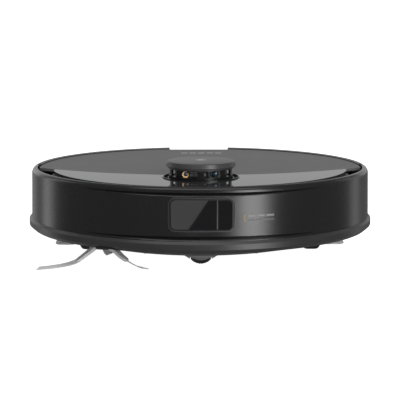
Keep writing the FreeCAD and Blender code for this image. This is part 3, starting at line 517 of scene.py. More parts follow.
# generic printed marks
PRINT = plastic("printed_mark", (0.75, 0.75, 0.75), 0.5, 2000, 0.005 * MM)
NOTE = plastic("wall_print", (0.17, 0.17, 0.17), 0.5, 2000, 0.005 * MM)
FAINT = plastic("faint_print", (0.09, 0.09, 0.09), 0.5, 2000, 0.005 * MM)
OCHRE = plastic("ochre_print", (0.24, 0.17, 0.06), 0.5, 2000, 0.005 * MM)
# metal, optics, cloth and boards
STEEL = metal("turned_steel", (0.60, 0.60, 0.62), 0.28, (8, 1, 1))
CAN = metal("drawn_can", (0.55, 0.56, 0.58), 0.36, (1, 1, 6))
CONTACT = metal("plated_contact", (0.80, 0.70, 0.50), 0.24, (1, 1, 8))
LENS = coated_lens("coated_lens", (0.020, 0.045, 0.060))
# a painted glint: teal base colour on a small disc that stands for a reflection on the receiver lens
TEAL_PAINTED_GLINT = coated_lens("teal_painted_glint", (0.02, 0.30, 0.38))
CLOTH = microfibre()
PAPER = pleated_paper()
BOARD = circuit_board()
AMBER_PAINTED_GLOW = painted_glow_amber()

# the record's material slots
FINISH = {
    "gloss_black": GLOSS, "satin_black": SATIN, "matte_lid": LID, "dark_frame": FRAME,
    "window_black": WINDOW, "lens_glass": LENS, "wheel_rubber": RUBBER, "roller_rubber": ROLLER,
    "steel": STEEL, "motor_can": CAN, "contact_metal": CONTACT, "circuit_green": BOARD,
    "battery_wrap": WRAP, "belt_rubber": BELT, "gear_white": ACETAL, "mop_fabric": CLOTH,
    "brush_grey": BRUSH, "tank_plastic": TANK, "filter_paper": PAPER, "wheel_grey": GREY,
}


# ---------------------------------------------------------------- stage

def stage():
    """A near-white floor to the horizon, under a grey surround that the object reflects."""
    world = bpy.data.worlds.new("studio")
    bpy.context.scene.world = world
    world.use_nodes = True
    world.node_tree.nodes["Background"].inputs["Color"].default_value = (*SURROUND, 1)

    bm = bmesh.new()
    bmesh.ops.create_circle(bm, cap_ends=True, segments=96, radius=FLOOR_RADIUS)
    floor = add_object("floor", bm)
    # pure white to the camera, and a pale floor to everything else
    material, tree, shader = node_material("floor_white", (0.85, 0.85, 0.85), 0.9)
    path = tree.nodes.new("ShaderNodeLightPath")
    shader.inputs["Emission Color"].default_value = (1, 1, 1, 1)
    tree.links.new(path.outputs["Is Camera Ray"], shader.inputs["Emission Strength"])
    floor.data.materials.append(material)
    floor.visible_glossy = False


def card(name, azimuth, elevation, distance, size, glow, mirrored=True):
    """A soft box of that brightness, facing the object.

    Azimuth 0 is over the camera, 90 to the right. The object mirrors it unless told not to.
    """
    lamp = bpy.data.lights.new(name, "AREA")
    lamp.shape = "RECTANGLE"
    lamp.size, lamp.size_y = size
    lamp.energy = glow * math.pi * size[0] * size[1]
    piece = bpy.data.objects.new(name, lamp)
    bpy.context.scene.collection.objects.link(piece)
    a, e = math.radians(azimuth), math.radians(elevation)
    away = Vector((math.sin(a) * math.cos(e), -math.cos(a) * math.cos(e), math.sin(e)))
    piece.location = CARD_AIM + away * distance
    piece.rotation_euler = away.to_track_quat("Z", "Y").to_euler()
    piece.visible_glossy = mirrored


def window_card():
    """A slanted screen that the sensor window mirrors on its left, lighter side."""
    bm = bmesh.new()
    corners = ((-0.190, -0.045), (0.0746, -0.045), (-0.0937, -0.130), (-0.190, -0.130))
    bm.faces.new([bm.verts.new((x, SCREEN_Y, z)) for x, z in corners])
    screen = add_object("window_screen", bm)
    material, _, shader = node_material("screen_glow", (0, 0, 0), 1.0)
    shader.inputs["Emission Color"].default_value = (1, 1, 1, 1)
    shader.inputs["Emission Strength"].default_value = 1.2
    screen.data.materials.append(material)
    screen.visible_camera = False
    screen.visible_diffuse = False
    screen.visible_shadow = False


def camera():
    """The photograph's view, fitted to the body's outline."""
    eye = bpy.data.cameras.new("camera")
    eye.lens = CAMERA_LENS
    eye.sensor_width = 36
    piece = bpy.data.objects.new("camera", eye)
    bpy.context.scene.collection.objects.link(piece)
    piece.location = CAMERA_SPOT
    aim = CAMERA_AIM - piece.location
    piece.rotation_euler = aim.to_track_quat("-Z", "Y").to_euler()
    bpy.context.scene.camera = piece


stage()
camera()
bpy.context.scene.view_settings.view_transform = "Standard"
# azimuth, elevation (degrees), distance, size (metres), brightness
card("key_right", 32, 0, 1.6, (0.50, 2.4), 7.3)
card("side_left", -118, 0, 1.5, (0.32, 2.4), 1.5)
card("left_back", -150, 0, 1.8, (0.60, 2.4), 0.25)
card("right_back", 122, 0, 1.8, (0.36, 2.4), 0.8)
card("overhead", 0, 77, 1.8, (1.8, 0.8), 2.1)
card("back", 180, 12, 2.4, (4.4, 0.9), 0.56)
card("fill", -8, 5, 1.9, (2.8, 0.8), 3.6, mirrored=False)
window_card()


# ---------------------------------------------------------------- bumper

def groove_reach(angle, radius, centre):
    """How far out a set-back ring that cuts a groove lies in this direction."""
    across, along = math.cos(angle), math.sin(angle)
    return centre * along + math.sqrt(radius ** 2 - (centre * across) ** 2)


GROOVES = (
    # ring radius, ring centre in Y, height of the groove's bottom, slopes above and below it
    (182.5 * MM, 12.5 * MM, 81.8 * MM, 0.17, 1.0),
    (181.0 * MM, 9.5 * MM, 39.8 * MM, 1.0, 1.04),
)


def grooved(angle, radius, height):
    """Pulls the wall's outer face in where the upper groove and the lower crease cross it."""
    if radius < BODY_RADIUS - 2 * MM or height > WALL_HIGH.z - 4.3 * MM:
        return radius, height
    for ring_radius, centre, level, above, below in GROOVES:
        rise = height - level
        side = rise / above if rise > 0 else -rise / below
        radius = min(radius, groove_reach(angle, ring_radius, centre) + side)
    return radius, height


def wall_radius(height):
    """The bumper's outer radius, which grows a little towards the skirt."""
    return BODY_RADIUS + WALL_LEAN * (WALL_HIGH.z - height) / (WALL_HIGH.z - WALL_LOW.z)


def on_wall(x, z, proud=0.0):
    """The Y of the bumper's outer face at this place, or so far in front of it."""
    return -math.sqrt((wall_radius(z) + proud) ** 2 - x ** 2)


def bumper_wall():
    """The gloss wall: shoulder, groove and crease outside, a plain channel inside."""
    low, high = WALL_LOW.z, WALL_HIGH.z
    heights = np.concatenate([
        np.linspace(low, low + 6 * MM, 26), np.linspace(low + 8 * MM, high - 12 * MM, 8),
        np.linspace(high - 10 * MM, high - 5.6 * MM, 16),
        np.linspace(high - 5.3 * MM, high - 4.7 * MM, 5),
    ])
    outer = [(wall_radius(h), h) for h in heights]
    shoulder = arc(BODY_RADIUS - SHOULDER, high - SHOULDER, SHOULDER, 0, 90, 12)[1:]
    rim = BODY_RADIUS - 5.7 * MM
    inner = [
        (rim + 0.3 * MM, high), (rim, high - 0.3 * MM), (rim, high - 6.8 * MM),
        (162.6 * MM, high - 6.8 * MM), (162.6 * MM, high - 8.6 * MM), (170.2 * MM, high - 8.6 * MM),
        (170.2 * MM, low + 8.6 * MM), (167 * MM, low + 6.6 * MM), (167 * MM, low),
    ]
    end = math.degrees(math.asin(HALF_END / BODY_RADIUS))
    wall = ring("bumper_wall", outer + shoulder + inner, 180 - end, 360 + end, 320, shift=grooved)
    low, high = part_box("sensor_bezel")
    opening = rounded_box((low.x, low.z), (high.x, high.z), BEZEL_ROUND)
    carved(wall, prism("window_cut", opening, -0.20, -0.15, "y"))
    put(shade(wall, 30), "bumper", "gloss_black", GLOSS, "bumper_shell")


def skirt_profile():
    """The lip's section, as (radius, height) points."""
    low, high = SKIRT_LOW.z, SKIRT_HIGH.z
    r = SKIRT_RADIUS
    return eased([
        (r - 6 * MM, low), (r - 4 * MM, low), (r, low + 3.5 * MM), (r, high - 2.6 * MM),
        (r - 2.6 * MM, high), (r - 8 * MM, high), (r - 8 * MM, high - 2.3 * MM),
        (r - 6 * MM, high - 2.3 * MM),
    ], 0.5 * MM)


def arched(angle, radius, height):
    """Lifts the skirt's lower lip over the side brush."""
    across = radius * math.cos(angle) - ARCH_X
    if math.sin(angle) > 0 or abs(across) > ARCH_HALF:
        return radius, height
    lip = SKIRT_LOW.z - ARCH_DROP + math.sqrt(ARCH_RADIUS ** 2 - across ** 2)
    return radius, max(height, lip)


def bumper_skirt():
    end = math.degrees(math.asin(HALF_END / SKIRT_RADIUS))
    skirt = ring("bumper_lip", skirt_profile(), 180 - end, 360 + end, 320, shift=arched)
    put(shade(skirt, 40), "bumper", "satin_black", SATIN, "bumper_skirt")


# ---------------------------------------------------------------- sensor window

def outline_ring(name, outer, inner, front, back):
    """A flat ring between two outlines of as many points, each on its own curved front."""
    bm = bmesh.new()
    rows = []
    for (xo, zo), (xi, zi) in zip(outer, inner):
        rows.append([
            bm.verts.new((xo, front(xo, zo), zo)), bm.verts.new((xi, front(xi, zi), zi)),
            bm.verts.new((xi, back, zi)), bm.verts.new((xo, back, zo)),
        ])
    skin(bm, rows + rows[:1])
    return add_object(name, bm)


def frame_outline(inset):
    """The window's rounded rectangle, its long sides divided so that they can follow a curve."""
    low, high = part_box("sensor_bezel")
    radius = BEZEL_ROUND - inset
    first, last = (low.x + inset, low.z + inset), (high.x - inset, high.z - inset)
    corners = rounded_box(first, last, radius, 10)
    points = []
    for k, (x, z) in enumerate(corners):
        x2, z2 = corners[(k + 1) % len(corners)]
        steps = 16 if abs(x2 - x) > 20 * MM else 1
        points += [(x + (x2 - x) * s / steps, z + (z2 - z) * s / steps) for s in range(steps)]
    return points


def bent(x):
    """How far the window's bent front falls back, this far from its middle."""
    return x ** 2 / (2 * WINDOW_CURVE)


def sensor_window():
    """The dark surround, its fine edge in a lighter grey that paints a highlight, the pane with its
    groove, and the bright strip.
    """
    bezel_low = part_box("sensor_bezel")[0]
    glass_low, glass_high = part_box("sensor_window")
    surround = outline_ring(
        "window_surround", frame_outline(0), frame_outline(1.4 * MM),
        lambda x, z: bezel_low.y + 1.3 * MM + bent(x), bezel_low.y + 5 * MM,
    )
    put(shade(surround, 30), "bumper", "satin_black", FRAME, "sensor_bezel")

    # the fine edge ring is real, and its lighter grey is a painted highlight along the window's outline
    edge = outline_ring(
        "window_edge", frame_outline(-0.45 * MM), frame_outline(0.05 * MM),
        lambda x, z: on_wall(x, z, 0.08 * MM), -0.1700,
    )
    put(shade(edge, 30), "bumper", "satin_black", TRIM_AND_HIGHLIGHT)

    inset = glass_low.x - bezel_low.x
    first, last = (glass_low.x, glass_low.z), (glass_high.x, glass_high.z)
    outline = rounded_box(first, last, BEZEL_ROUND - inset, 10)
    pane = prism("window_pane", outline, glass_low.y, glass_low.y + 3.4 * MM, "y")
    glass = bevelled(pane, 0.45 * MM, 3, 60)
    groove_end = (-14.3 * MM, glass_low.y + 0.35 * MM, 0.09)
    carved(glass, block((-15.2 * MM, -0.18, 0.03), groove_end, 0.01 * MM))
    bm = bmesh.new()
    bm.from_mesh(glass.data)
    for x in np.arange(-28, 28.1, 2):
        whole = bm.verts[:] + bm.edges[:] + bm.faces[:]
        bmesh.ops.bisect_plane(bm, geom=whole, plane_co=(x * MM, 0, 0), plane_no=(1, 0, 0))
    for vert in bm.verts:
        vert.co.y += bent(vert.co.x)
    bm.to_mesh(glass.data)
    bm.free()
    put(shade(glass, 25), "bumper", "window_black", WINDOW, "sensor_window")

    front = glass_low.y + bent(14.3 * MM)
    strip = block((13.8 * MM, front - 0.06 * MM, glass_low.z + 0.5 * MM),
                  (14.9 * MM, front + 0.5 * MM, glass_high.z - 0.5 * MM), 0.05 * MM, "window_strip")
    put(shade(strip), "bumper", "satin_black", TRIM_AND_HIGHLIGHT)


def wall_patch(name, x0, x1, z0, z1):
    """A thin printed patch on the bumper's curved wall."""
    bm = bmesh.new()
    rows = []
    corners = ((z0, PRINT_PROUD), (z1, PRINT_PROUD), (z1, -PRINT_DEEP), (z0, -PRINT_DEEP))
    for x in np.linspace(x0, x1, max(2, int((x1 - x0) / (1.5 * MM)) + 1)):
        rows.append([bm.verts.new((x, on_wall(x, z, proud), z)) for z, proud in corners])
    bridge(bm, rows)
    return add_object(name, bm)


def wall_print():
    """A generic print beside the window: an upright bar and two broken lines."""
    bar = wall_patch("print_bar", 39.0 * MM, 39.8 * MM, 55.6 * MM, 62.0 * MM)
    put(bar, "bumper", "gloss_black", OCHRE)
    for name, low, high, material, count, dash in (
        ("print_line", 59.4 * MM, 61.2 * MM, NOTE, 3, 7.11 * MM),
        ("print_note", 55.8 * MM, 57.0 * MM, FAINT, 2, 11.34 * MM),
    ):
        starts = [42.8 * MM + k * (dash + 1.4 * MM) for k in range(count)]
        parts = [wall_patch(name, x, x + dash, low, high) for x in starts]
        put(joined(name, parts), "bumper", "gloss_black", material)


# ---------------------------------------------------------------- laser turret

def raised_mark(name, inner, outer, start, end, low, high, centre):
    """A flat arc or ring of a printed sign; its radii are in mm."""
    a, b = inner * MM, outer * MM
    return ring(name, [(a, low), (b, low), (b, high), (a, high)], start, end, 40, centre)


def turret_cap():
    """The slightly domed cap with a rounded edge, and its generic mark of rings."""
    low, high = CAP_LOW.z, CAP_HIGH.z
    r = CAP_HIGH.x
    profile = [
        (0, high), (r - 12 * MM, high - 0.10 * MM), (r - 4 * MM, high - 0.45 * MM),
        *arc(r - 1.9 * MM, high - 2.0 * MM, 1.3 * MM, 82, 6, 8),
        (r, low + 2.2 * MM), (r - 0.3 * MM, low + 1.8 * MM), (r - 2.0 * MM, low + 1.6 * MM),
        (r - 2.2 * MM, low), (r - 2.7 * MM, low), (r - 2.7 * MM, low + 1.5 * MM),
        (r - 6.4 * MM, low + 1.5 * MM), (r - 6.4 * MM, low + 4.4 * MM), (0, low + 4.4 * MM),
    ]
    cap = ring("cap_shell", profile, steps=160, centre=(0, TURRET_Y))
    put(shade(cap, 35), "turret_cover", "satin_black", CAP, "turret_cap")
    deep, top = high - 0.3 * MM, high + 0.03 * MM
    parts = [
        raised_mark("cap_mark", inner, outer, start, end, deep, top, (0, TURRET_Y))
        for inner, outer, start, end in ((4.2, 5.1, 20, 160), (4.2, 5.1, 200, 340), (1.2, 2.2, 0, 360))
    ]
    put(joined("cap_mark", parts), "turret_cover", "satin_black", PRINT)


def turret_cage():
    """A thin drum with five windows, and a post between each two."""
    low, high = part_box("turret_cage")
    outer = high.x
    inner = outer - 2.4 * MM
    wall = eased([(inner, low.z), (outer, low.z), (outer, high.z), (inner, high.z)], 0.3 * MM)
    cage = ring("cage_ring", wall, steps=200, centre=(0, TURRET_Y))
    half = outer * math.sin(math.radians(30.5))
    hole = rounded_box((-half, low.z + 4 * MM), (half, high.z - 1.8 * MM), 1.2 * MM)
    for index in range(5):
        tool = prism("cage_window", hole, 20 * MM, 40 * MM, "y")
        turn = Matrix.Rotation(math.radians(72 * index + 36 + 180), 4, "Z")
        carved(cage, moved(tool, Matrix.Translation(TURRET) @ turn))
    put(shade(bevelled(cage, 0.2 * MM, 2), 40), "turret_cover", "gloss_black", GLOSS, "turret_cage")


def turret_collar():
    """The collar round the turret's foot, with a trough in its top."""
    low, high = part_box("turret_base")
    r = high.x
    profile = eased([
        (r - 5.4 * MM, low.z), (r, low.z), (r, high.z - 1.2 * MM), (r - 0.7 * MM, high.z - 1.2 * MM),
        (r - 0.9 * MM, low.z + 1.2 * MM), (r - 4.5 * MM, low.z + 1.2 * MM),
        (r - 4.7 * MM, high.z - 2.4 * MM), (r - 5.4 * MM, high.z - 2.4 * MM),
    ], 0.2 * MM, 3)
    collar = ring("collar_ring", profile, steps=200, centre=(0, TURRET_Y))
    put(shade(collar, 40), "chassis", "satin_black", GLOSS, "turret_base")


def lens(name, profile, steps, spot, material, *nodes):
    """A round lens that looks forward, its profile given in (radius, reach), at that spot."""
    facing = Matrix.Translation(spot) @ Matrix.Rotation(math.radians(90), 4, "X")
    glass = shade(moved(ring(name, profile, steps=steps), facing), 40)
    put(glass, "laser_head", "lens_glass", material, *nodes)


def emitter_ring(eye, front):
    """The amber crescent round the emitter, with a painted glow: a round hole set off the ring's middle.
    """
    bm = bmesh.new()
    rows = []
    for angle in np.linspace(0, 2 * math.pi, 49)[:-1]:
        across, up = math.cos(angle), math.sin(angle)
        out = (3.0 * MM * across, 3.0 * MM * up)
        inn = (0.50 * MM + 2.2878 * MM * across, 0.46 * MM + 2.2878 * MM * up)
        corners = ((out, -0.45), (inn, -0.45), (inn, 0.5), (out, 0.5))
        rows.append([bm.verts.new((eye.x + x, front + y * MM, eye.z + z)) for (x, z), y in corners])
    skin(bm, rows + rows[:1])
    # the ring's material carries a painted glow
    put(shade(add_object("emitter_ring", bm), 30), "laser_head", "lens_glass", AMBER_PAINTED_GLOW)


def head_lines(name, front, lines, round_by):
    """Raised bars on the head's face; each is (x0, x1, z0, z1) in mm, and the depth in front."""
    bars = [
        block((x0 * MM, front - proud * MM, z0 * MM), (x1 * MM, front + 0.6 * MM, z1 * MM), round_by)
        for x0, x1, z0, z1, proud in lines
    ]
    put(joined(name, bars), "laser_head", "dark_frame", GREY)


def laser_head():
    """The spinning head, with its emitter ring, receiver hood and ribs."""
    head = finer("lidar_head", "laser_block", 0.3 * MM)
    put(head, "laser_head", "dark_frame", FRAME, "lidar_head")
    low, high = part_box("laser_lens")
    eye = (low + high) / 2
    lens("emitter_lens", [
        (0, 0), (3.35 * MM, 0), (3.35 * MM, 3.2 * MM), (2.4 * MM, 3.9 * MM), (1.2 * MM, 4.2 * MM),
        (0, 4.3 * MM),
    ], 48, (eye.x, high.y, eye.z), LENS, "laser_lens")
    emitter_ring(eye, low.y)

    low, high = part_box("receiver_lens")
    mid = (low + high) / 2
    outline = [(-4.9, 3.6), (4.4, 3.6), (5.4, 2.4), (5.4, -2.6), (4.4, -3.6), (-3.6, -3.6),
               (-5.4, -1.8), (-5.4, 2.8)]
    outer, inner = (
        [(mid.x + x * size * MM, mid.z + z * size * MM) for x, z in outline] for size in (1.0, 0.80)
    )
    hood = outline_ring("receiver_hood", outer, inner, lambda x, z: low.y - 0.9 * MM, low.y + 4 * MM)
    put(shade(hood, 30), "laser_head", "dark_frame", TRIM_AND_HIGHLIGHT)
    for name, offset, r, material, nodes in (
        ("receiver_eye", 0.6 * MM, 2.4 * MM, LENS, ("receiver_lens",)),
        # the glint disc: its teal colour is a painted glint
        ("receiver_glint", -2.6 * MM, 0.8 * MM, TEAL_PAINTED_GLINT, ()),
    ):
        profile = [(0, 0), (r, 0), (r, 2 * MM), (0.6 * r, 2.5 * MM), (0, 2.6 * MM)]
        spot = (mid.x + offset, low.y + 2.2 * MM, mid.z + 0.4 * MM)
        lens(name, profile, 36, spot, material, *nodes)

    front = TURRET_Y - 18 * MM
    head_lines("head_ribs", front, (
        (-1.5, 4.6, 94.0, 94.9, 0.5), (-1.5, 4.6, 91.2, 92.4, 0.5), (-1.5, 4.6, 89.2, 90.4, 0.5),
        (3.2, 4.6, 90.0, 92.0, 0.5),
    ), 0.12 * MM)
    heights = (89.4, 91.0, 92.6, 94.2)
    head_lines("head_lines", front, [(-10.4, -3.2, z, z + 0.5, 0.25) for z in heights], 0.08 * MM)


# ---------------------------------------------------------------- lid details

def lid_print():
    """A generic row of dashes near the back of the lid."""
    parts = []
    for index in range(5):
        x = (-20 + 9.4 * index) * MM
        low = (x, 112.5 * MM, LID_TOP - 0.2 * MM)
        high = (x + 7.2 * MM, 116.0 * MM, LID_TOP + 0.04 * MM)
        parts.append(block(low, high, 0.02 * MM))
    put(joined("lid_dashes", parts), "chassis", "matte_lid", PRINT)


def buttons():
    """Domed keys, each with a generic raised sign."""
    for node, body, sign in (
        ("home_button", "home_key", ((2.0, 2.5, 0, 360),)),
        ("power_button", "power_key", ((2.0, 2.5, 120, 420), (0, 0.5, 0, 360))),
        ("spot_button", "spot_key", ((0, 0.8, 0, 360), (2.0, 2.5, 30, 150), (2.0, 2.5, 210, 330))),
    ):
        low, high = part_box(node)
        centre = ((low.x + high.x) / 2, (low.y + high.y) / 2)
        r, top = (high.x - low.x) / 2, high.z
        profile = [
            (0, low.z), (r / 2, low.z), (r / 2, top - 2.4 * MM), (r, top - 2.4 * MM),
            (r, top - 0.5 * MM), (r - 0.2 * MM, top - 0.15 * MM), (r - 0.6 * MM, top),
            (r - 2 * MM, top - 0.12 * MM), (0, top - 0.3 * MM),
        ]
        key = ring(node + "_cap", profile, steps=96, centre=centre)
        put(shade(key, 40), body, "matte_lid", LID, node)
        deep, face = top - 0.5 * MM, top - 0.08 * MM
        marks = [
            raised_mark("sign", inner, outer, start, end, deep, face, centre)
            for inner, outer, start, end in sign
        ]
        put(joined(node + "_sign", marks), body, "matte_lid", PRINT)


# ---------------------------------------------------------------- side brush

def brush_arm(angle, heights):
    """A thick holder that steps down to a thin curved blade with a slanted tip.

    heights gives the arm's line as (distance from the middle, height) in mm.
    """
    hub_low, hub_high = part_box("side_brush_hub")
    centre = Vector(((hub_low.x + hub_high.x) / 2, (hub_low.y + hub_high.y) / 2, 0))
    turn = math.radians(angle)
    way = Vector((math.cos(turn), math.sin(turn), 0))
    line = smooth(heights, 8)
    spots = [centre + way * (r * MM) + Vector((0, 0, z * MM)) for r, z in line]
    holder_end = next(k for k, (r, z) in enumerate(line) if r > HOLDER_REACH)

    def holder(t):
        half, thick = (4.2 - 0.9 * t) * MM, (1.7 - 0.5 * t) * MM
        nip = 1.0 if t < 0.92 else 1.0 - (t - 0.92) * 5
        wide = half * nip
        return [(-wide, -thick, 0), (wide, -thick, 0), (wide, thick, 0), (-wide, thick, 0)]

    def blade(t):
        half, thick = (2.9 - 0.5 * t) * MM, 0.55 * MM
        slant = 2.6 * MM * max(0.0, (t - 0.85) / 0.15)
        lean = math.radians(24)
        corners = []
        for a, b in ((-half, -thick), (half, -thick), (half, thick), (-half, thick)):
            side = a * math.cos(lean) - b * math.sin(lean)
            up = a * math.sin(lean) + b * math.cos(lean)
            corners.append((side, up, slant if a < 0 else -slant))
        return corners

    thick = bevelled(swept("arm_holder", spots[:holder_end + 1], holder), 0.5 * MM, 3)
    thin = bevelled(swept("arm_blade", spots[holder_end - 5:], blade), 0.2 * MM, 2)
    return [thick, thin]


def side_brush():
    """The hub, its three swept arms and the screw with a cross slot."""
    arms = []
    for angle, heights in (
        (205, ((9.5, 18.0), (16, 13.5), (24, 8.4), (30, 5.2), (40, 3.2), (54, 2.3), (68, 2.2))),
        (325, ((9.5, 18.0), (16, 14.6), (22, 10.6), (30, 6.6), (38, 3.8), (44, 2.5), (51, 2.3))),
        (85, ((9.5, 18.0), (16, 13.5), (24, 8.4), (30, 5.2), (40, 3.2), (50, 2.4), (58, 2.3))),
    ):
        arms += brush_arm(angle, heights)
    put(shade(joined("brush_vanes", arms), 35), "side_brush", "brush_grey", BRUSH, "side_brush_arms")

    low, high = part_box("side_brush_hub")
    centre = ((low.x + high.x) / 2, (low.y + high.y) / 2)
    r = (high.x - low.x) / 2
    profile = eased([
        (3.3 * MM, low.z + 2 * MM), (3.3 * MM, low.z + 0.8 * MM), (5 * MM, low.z),
        (r - 1.5 * MM, low.z), (r, low.z + 1.5 * MM), (r, low.z + 5.5 * MM),
        (2.5 * MM, low.z + 5.5 * MM), (2.5 * MM, high.z), (1.0 * MM, high.z), (1.0 * MM, low.z + 2 * MM),
    ], 0.3 * MM, 3)
    hub = ring("brush_hub", profile, steps=96, centre=centre)
    put(shade(hub, 35), "side_brush", "satin_black", SATIN, "side_brush_hub")
    head_low, head_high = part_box("side_brush_screw")
    screw = ring("hub_screw", [
        (0, head_high.z), (3 * MM, head_high.z), (3 * MM, head_low.z + 0.6 * MM),
        (2.2 * MM, head_low.z + 0.1 * MM), (0, head_low.z),
    ], steps=48, centre=centre)
    for long, short in ((2.0 * MM, 0.35 * MM), (0.35 * MM, 2.0 * MM)):
        slot = block((centre[0] - long, centre[1] - short, head_low.z - 1 * MM),
                     (centre[0] + long, centre[1] + short, head_low.z + 0.8 * MM), 0.05 * MM)
        carved(screw, slot)
    put(shade(screw, 35), "side_brush", "steel", STEEL, "side_brush_screw")


# ---------------------------------------------------------------- wheels

def tread(angle, radius, height):
    """Chevron grooves across the tyre's crown."""
    if radius < CROWN_RADIUS:
        return radius, height
    phase = (angle / (2 * math.pi) * TREAD_COUNT + abs(height) / (5.0 * MM)) % 1
    deep = TREAD_DEPTH if phase < 0.28 else 0.0
    return radius - deep * min(1.0, (radius - CROWN_RADIUS) / (1 * MM)), height


def drive_wheels():
    """Both wheels: a tyre with chevron grooves, the hub, and six ribs on its outer face."""
    profile = [
        (24 * MM, 8.4 * MM), (25 * MM, 8.9 * MM), (30 * MM, 9.0 * MM), (32 * MM, 8.5 * MM),
        *arc(30.4 * MM, 4.4 * MM, 4.4 * MM, 62, 8, 7),
        *[(34.9 * MM, z * MM) for z in np.linspace(3.6, -3.6, 13)],
        *arc(30.4 * MM, -4.4 * MM, 4.4 * MM, -8, -62, 7),
        (32 * MM, -8.5 * MM), (30 * MM, -9.0 * MM), (25 * MM, -8.9 * MM), (24 * MM, -8.4 * MM),
    ]
    for hand in ("left", "right"):
        low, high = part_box(hand + "_tyre")
        centre = (low + high) / 2
        tyre = along_x(ring(hand + "_tread", profile, steps=384, shift=tread), centre)
        put(shade(tyre, 30), hand + "_wheel", "wheel_rubber", RUBBER, hand + "_tyre")
        outward = 1 if centre.x > 0 else -1
        hub = finer(hand + "_wheel_hub", hand + "_hub_disc")
        put(hub, hand + "_wheel", "wheel_grey", GREY, hand + "_wheel_hub")
        ribs = []
        for index in range(6):
            rib = block((4.5 * MM, -0.8 * MM, -1.7 * MM), (20.2 * MM, 0.8 * MM, 1.7 * MM), 0.3 * MM)
            turn = Matrix.Rotation(math.radians(60 * index), 4, "Z")
            ribs.append(moved(rib, turn))
        spot = centre + Vector((-outward * 5.4 * MM, 0, 0))
        put(along_x(joined(hand + "_hub_ribs", ribs), spot), hand + "_wheel", "wheel_grey", GREY)


def ribbed(angle, radius, height):
    """Fine grooves round the caster's ball wheel."""
    if radius > 9 * MM and abs(height) % (2.6 * MM) < 0.5 * MM:
        radius -= 0.35 * MM
    return radius, height


def caster():
    """The dome that swivels, slotted for its wheel, and the wheel's own round crown."""
    low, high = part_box("caster_fork")
    centre = (low + high) / 2
    r, stem = (high.x - low.x) / 2, 4 * MM
    wheel_low, wheel_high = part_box("caster_wheel")
    wheel = (wheel_low + wheel_high) / 2
    half, radius = (wheel_high.x - wheel_low.x) / 2, (wheel_high.z - wheel_low.z) / 2
    bowl = eased([
        (10.4 * MM, low.z), (r - 1 * MM, low.z + 4.3 * MM), (r, low.z + 6.5 * MM), (r, 22 * MM),
        (13 * MM, 31 * MM), (6 * MM, 35 * MM), (stem, 35.2 * MM), (stem, high.z), (0, high.z),
        (0, low.z),
    ], 1.2 * MM, 5)
    dome = ring("caster_dome", bowl, steps=128, centre=(centre.x, centre.y))
    for size, reach in ((radius + 0.6 * MM, half + 0.7 * MM), (2 * MM, 20 * MM)):
        tool = ring("slot", [(0, -reach), (size, -reach), (size, reach), (0, reach)], steps=96)
        carved(dome, along_x(tool, wheel))
    put(shade(bevelled(dome, 0.3 * MM, 2, 40), 35), "caster_swivel", "wheel_grey", GREY, "caster_fork")
    reach = math.asin(half / radius) - 0.04
    crown = [(radius * math.cos(a), radius * math.sin(a)) for a in np.linspace(-reach, reach, 25)]
    ball = ring("caster_ball", [
        (2.06 * MM, -half + 1.2 * MM), (5 * MM, -half + 1.2 * MM), (7.4 * MM, -half), *crown,
        (7.4 * MM, half), (5 * MM, half - 1.2 * MM), (2.06 * MM, half - 1.2 * MM),
    ], steps=128, shift=ribbed)
    put(shade(along_x(ball, wheel), 25), "caster_roll", "wheel_rubber", RUBBER, "caster_wheel")


# ---------------------------------------------------------------- roller brush

def roller_blades():
    """Six rubber blades that lead at the middle, between low ribs on the core."""
    low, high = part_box("roller_fins")
    axis = (low + high) / 2
    half = (high.x - low.x) / 2
    section = ((12.8, -1.1), (12.8, 1.1), (17, 0.8), (20.2, 0.45), (20.2, -0.45), (17, -0.8))
    blades = []
    for index in range(6):
        bm = bmesh.new()
        rows = []
        for x in np.linspace(-half, half, 61):
            lead = math.radians(60 * index + 34 * abs(x) / half)
            row = []
            for r, side in section:
                turn = lead + side / r
                y, z = r * MM * math.sin(turn), r * MM * math.cos(turn)
                row.append(bm.verts.new((x, axis.y + y, axis.z + z)))
            rows.append(row)
        bridge(bm, rows)
        blades.append(add_object("blade", bm))
    put(shade(joined("roller_vanes", blades), 35), "roller", "roller_rubber", ROLLER, "roller_fins")


# ---------------------------------------------------------------- mop

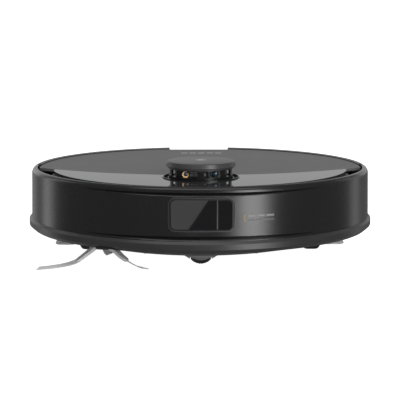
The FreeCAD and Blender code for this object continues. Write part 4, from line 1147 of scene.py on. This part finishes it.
def mop_edge(inset, steps=40):
    """The mop's outline: a round back, and wings that reach forward at both sides."""
    low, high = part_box("mop_cloth")
    radius, half = high.y - inset, high.x - inset
    wing, front, start = MOP_WING + inset, MOP_FRONT + inset, low.y + inset
    side = math.acos(half / radius)
    angles = np.linspace(side, math.pi - side, steps)
    back = [(radius * math.cos(a), radius * math.sin(a)) for a in angles]
    return [
        (half, start), *back, (-half, start), (-wing, start), (-wing, front), (wing, front),
        (wing, start),
    ]


def mop():
    """The pad, with a rolled edge and a stitched-down border, and the plate that holds it."""
    low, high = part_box("mop_cloth")
    thick = high.z - low.z
    rows = []
    bm = bmesh.new()
    for inset, height in (
        (9 * MM, low.z), (3 * MM, low.z), (1.2 * MM, low.z + 0.05 * MM), (0.35 * MM, low.z + 0.5 * MM),
        (0.0, low.z + 0.42 * thick), (0.1 * MM, low.z + 0.62 * thick), (0.6 * MM, low.z + 0.82 * thick),
        (1.6 * MM, high.z - 0.15 * MM), (3.0 * MM, high.z - 0.35 * MM),
        (4.0 * MM, high.z - 0.05 * MM), (9 * MM, high.z),
    ):
        outline = eased(mop_edge(inset), 6 * MM, 6)
        rows.append([bm.verts.new((x, y, height)) for x, y in outline])
    skin(bm, rows)
    bm.faces.new(rows[0])
    bm.faces.new(rows[-1])
    pad = add_object("mop_pad", bm)
    put(shade(pad, 60), "mop", "mop_fabric", CLOTH, "mop_cloth")
    put(finer("mop_bracket", "mop_plate", 0.6 * MM), "mop", "brush_grey", PALE, "mop_bracket")


# ---------------------------------------------------------------- finishes and making

slots = {entry["node"]: entry["material_slot"] for entry in frame["record"]["subparts"]}
for name, thing in NODES.items():
    thing.data.materials.clear()
    thing.data.materials.append(FINISH[slots[name]])

bumper_wall()
bumper_skirt()
sensor_window()
wall_print()
turret_cap()
turret_cage()
turret_collar()
laser_head()
lid_print()
buttons()
side_brush()
drive_wheels()
caster()
roller_blades()
mop()
# CAD shapes that are right as they are, with their edges eased
for source, body, slot, material in (
    ("rear_shell", "chassis", "satin_black", SATIN), ("top_cover", "chassis", "matte_lid", LID),
    ("front_panel", "chassis", "gloss_black", MIRROR), ("tank_body", "tank", "tank_plastic", TANK),
    ("tank_latch", "tank_release", "satin_black", SATIN),
):
    put(finer(source, source + "_fine"), body, slot, material, source)
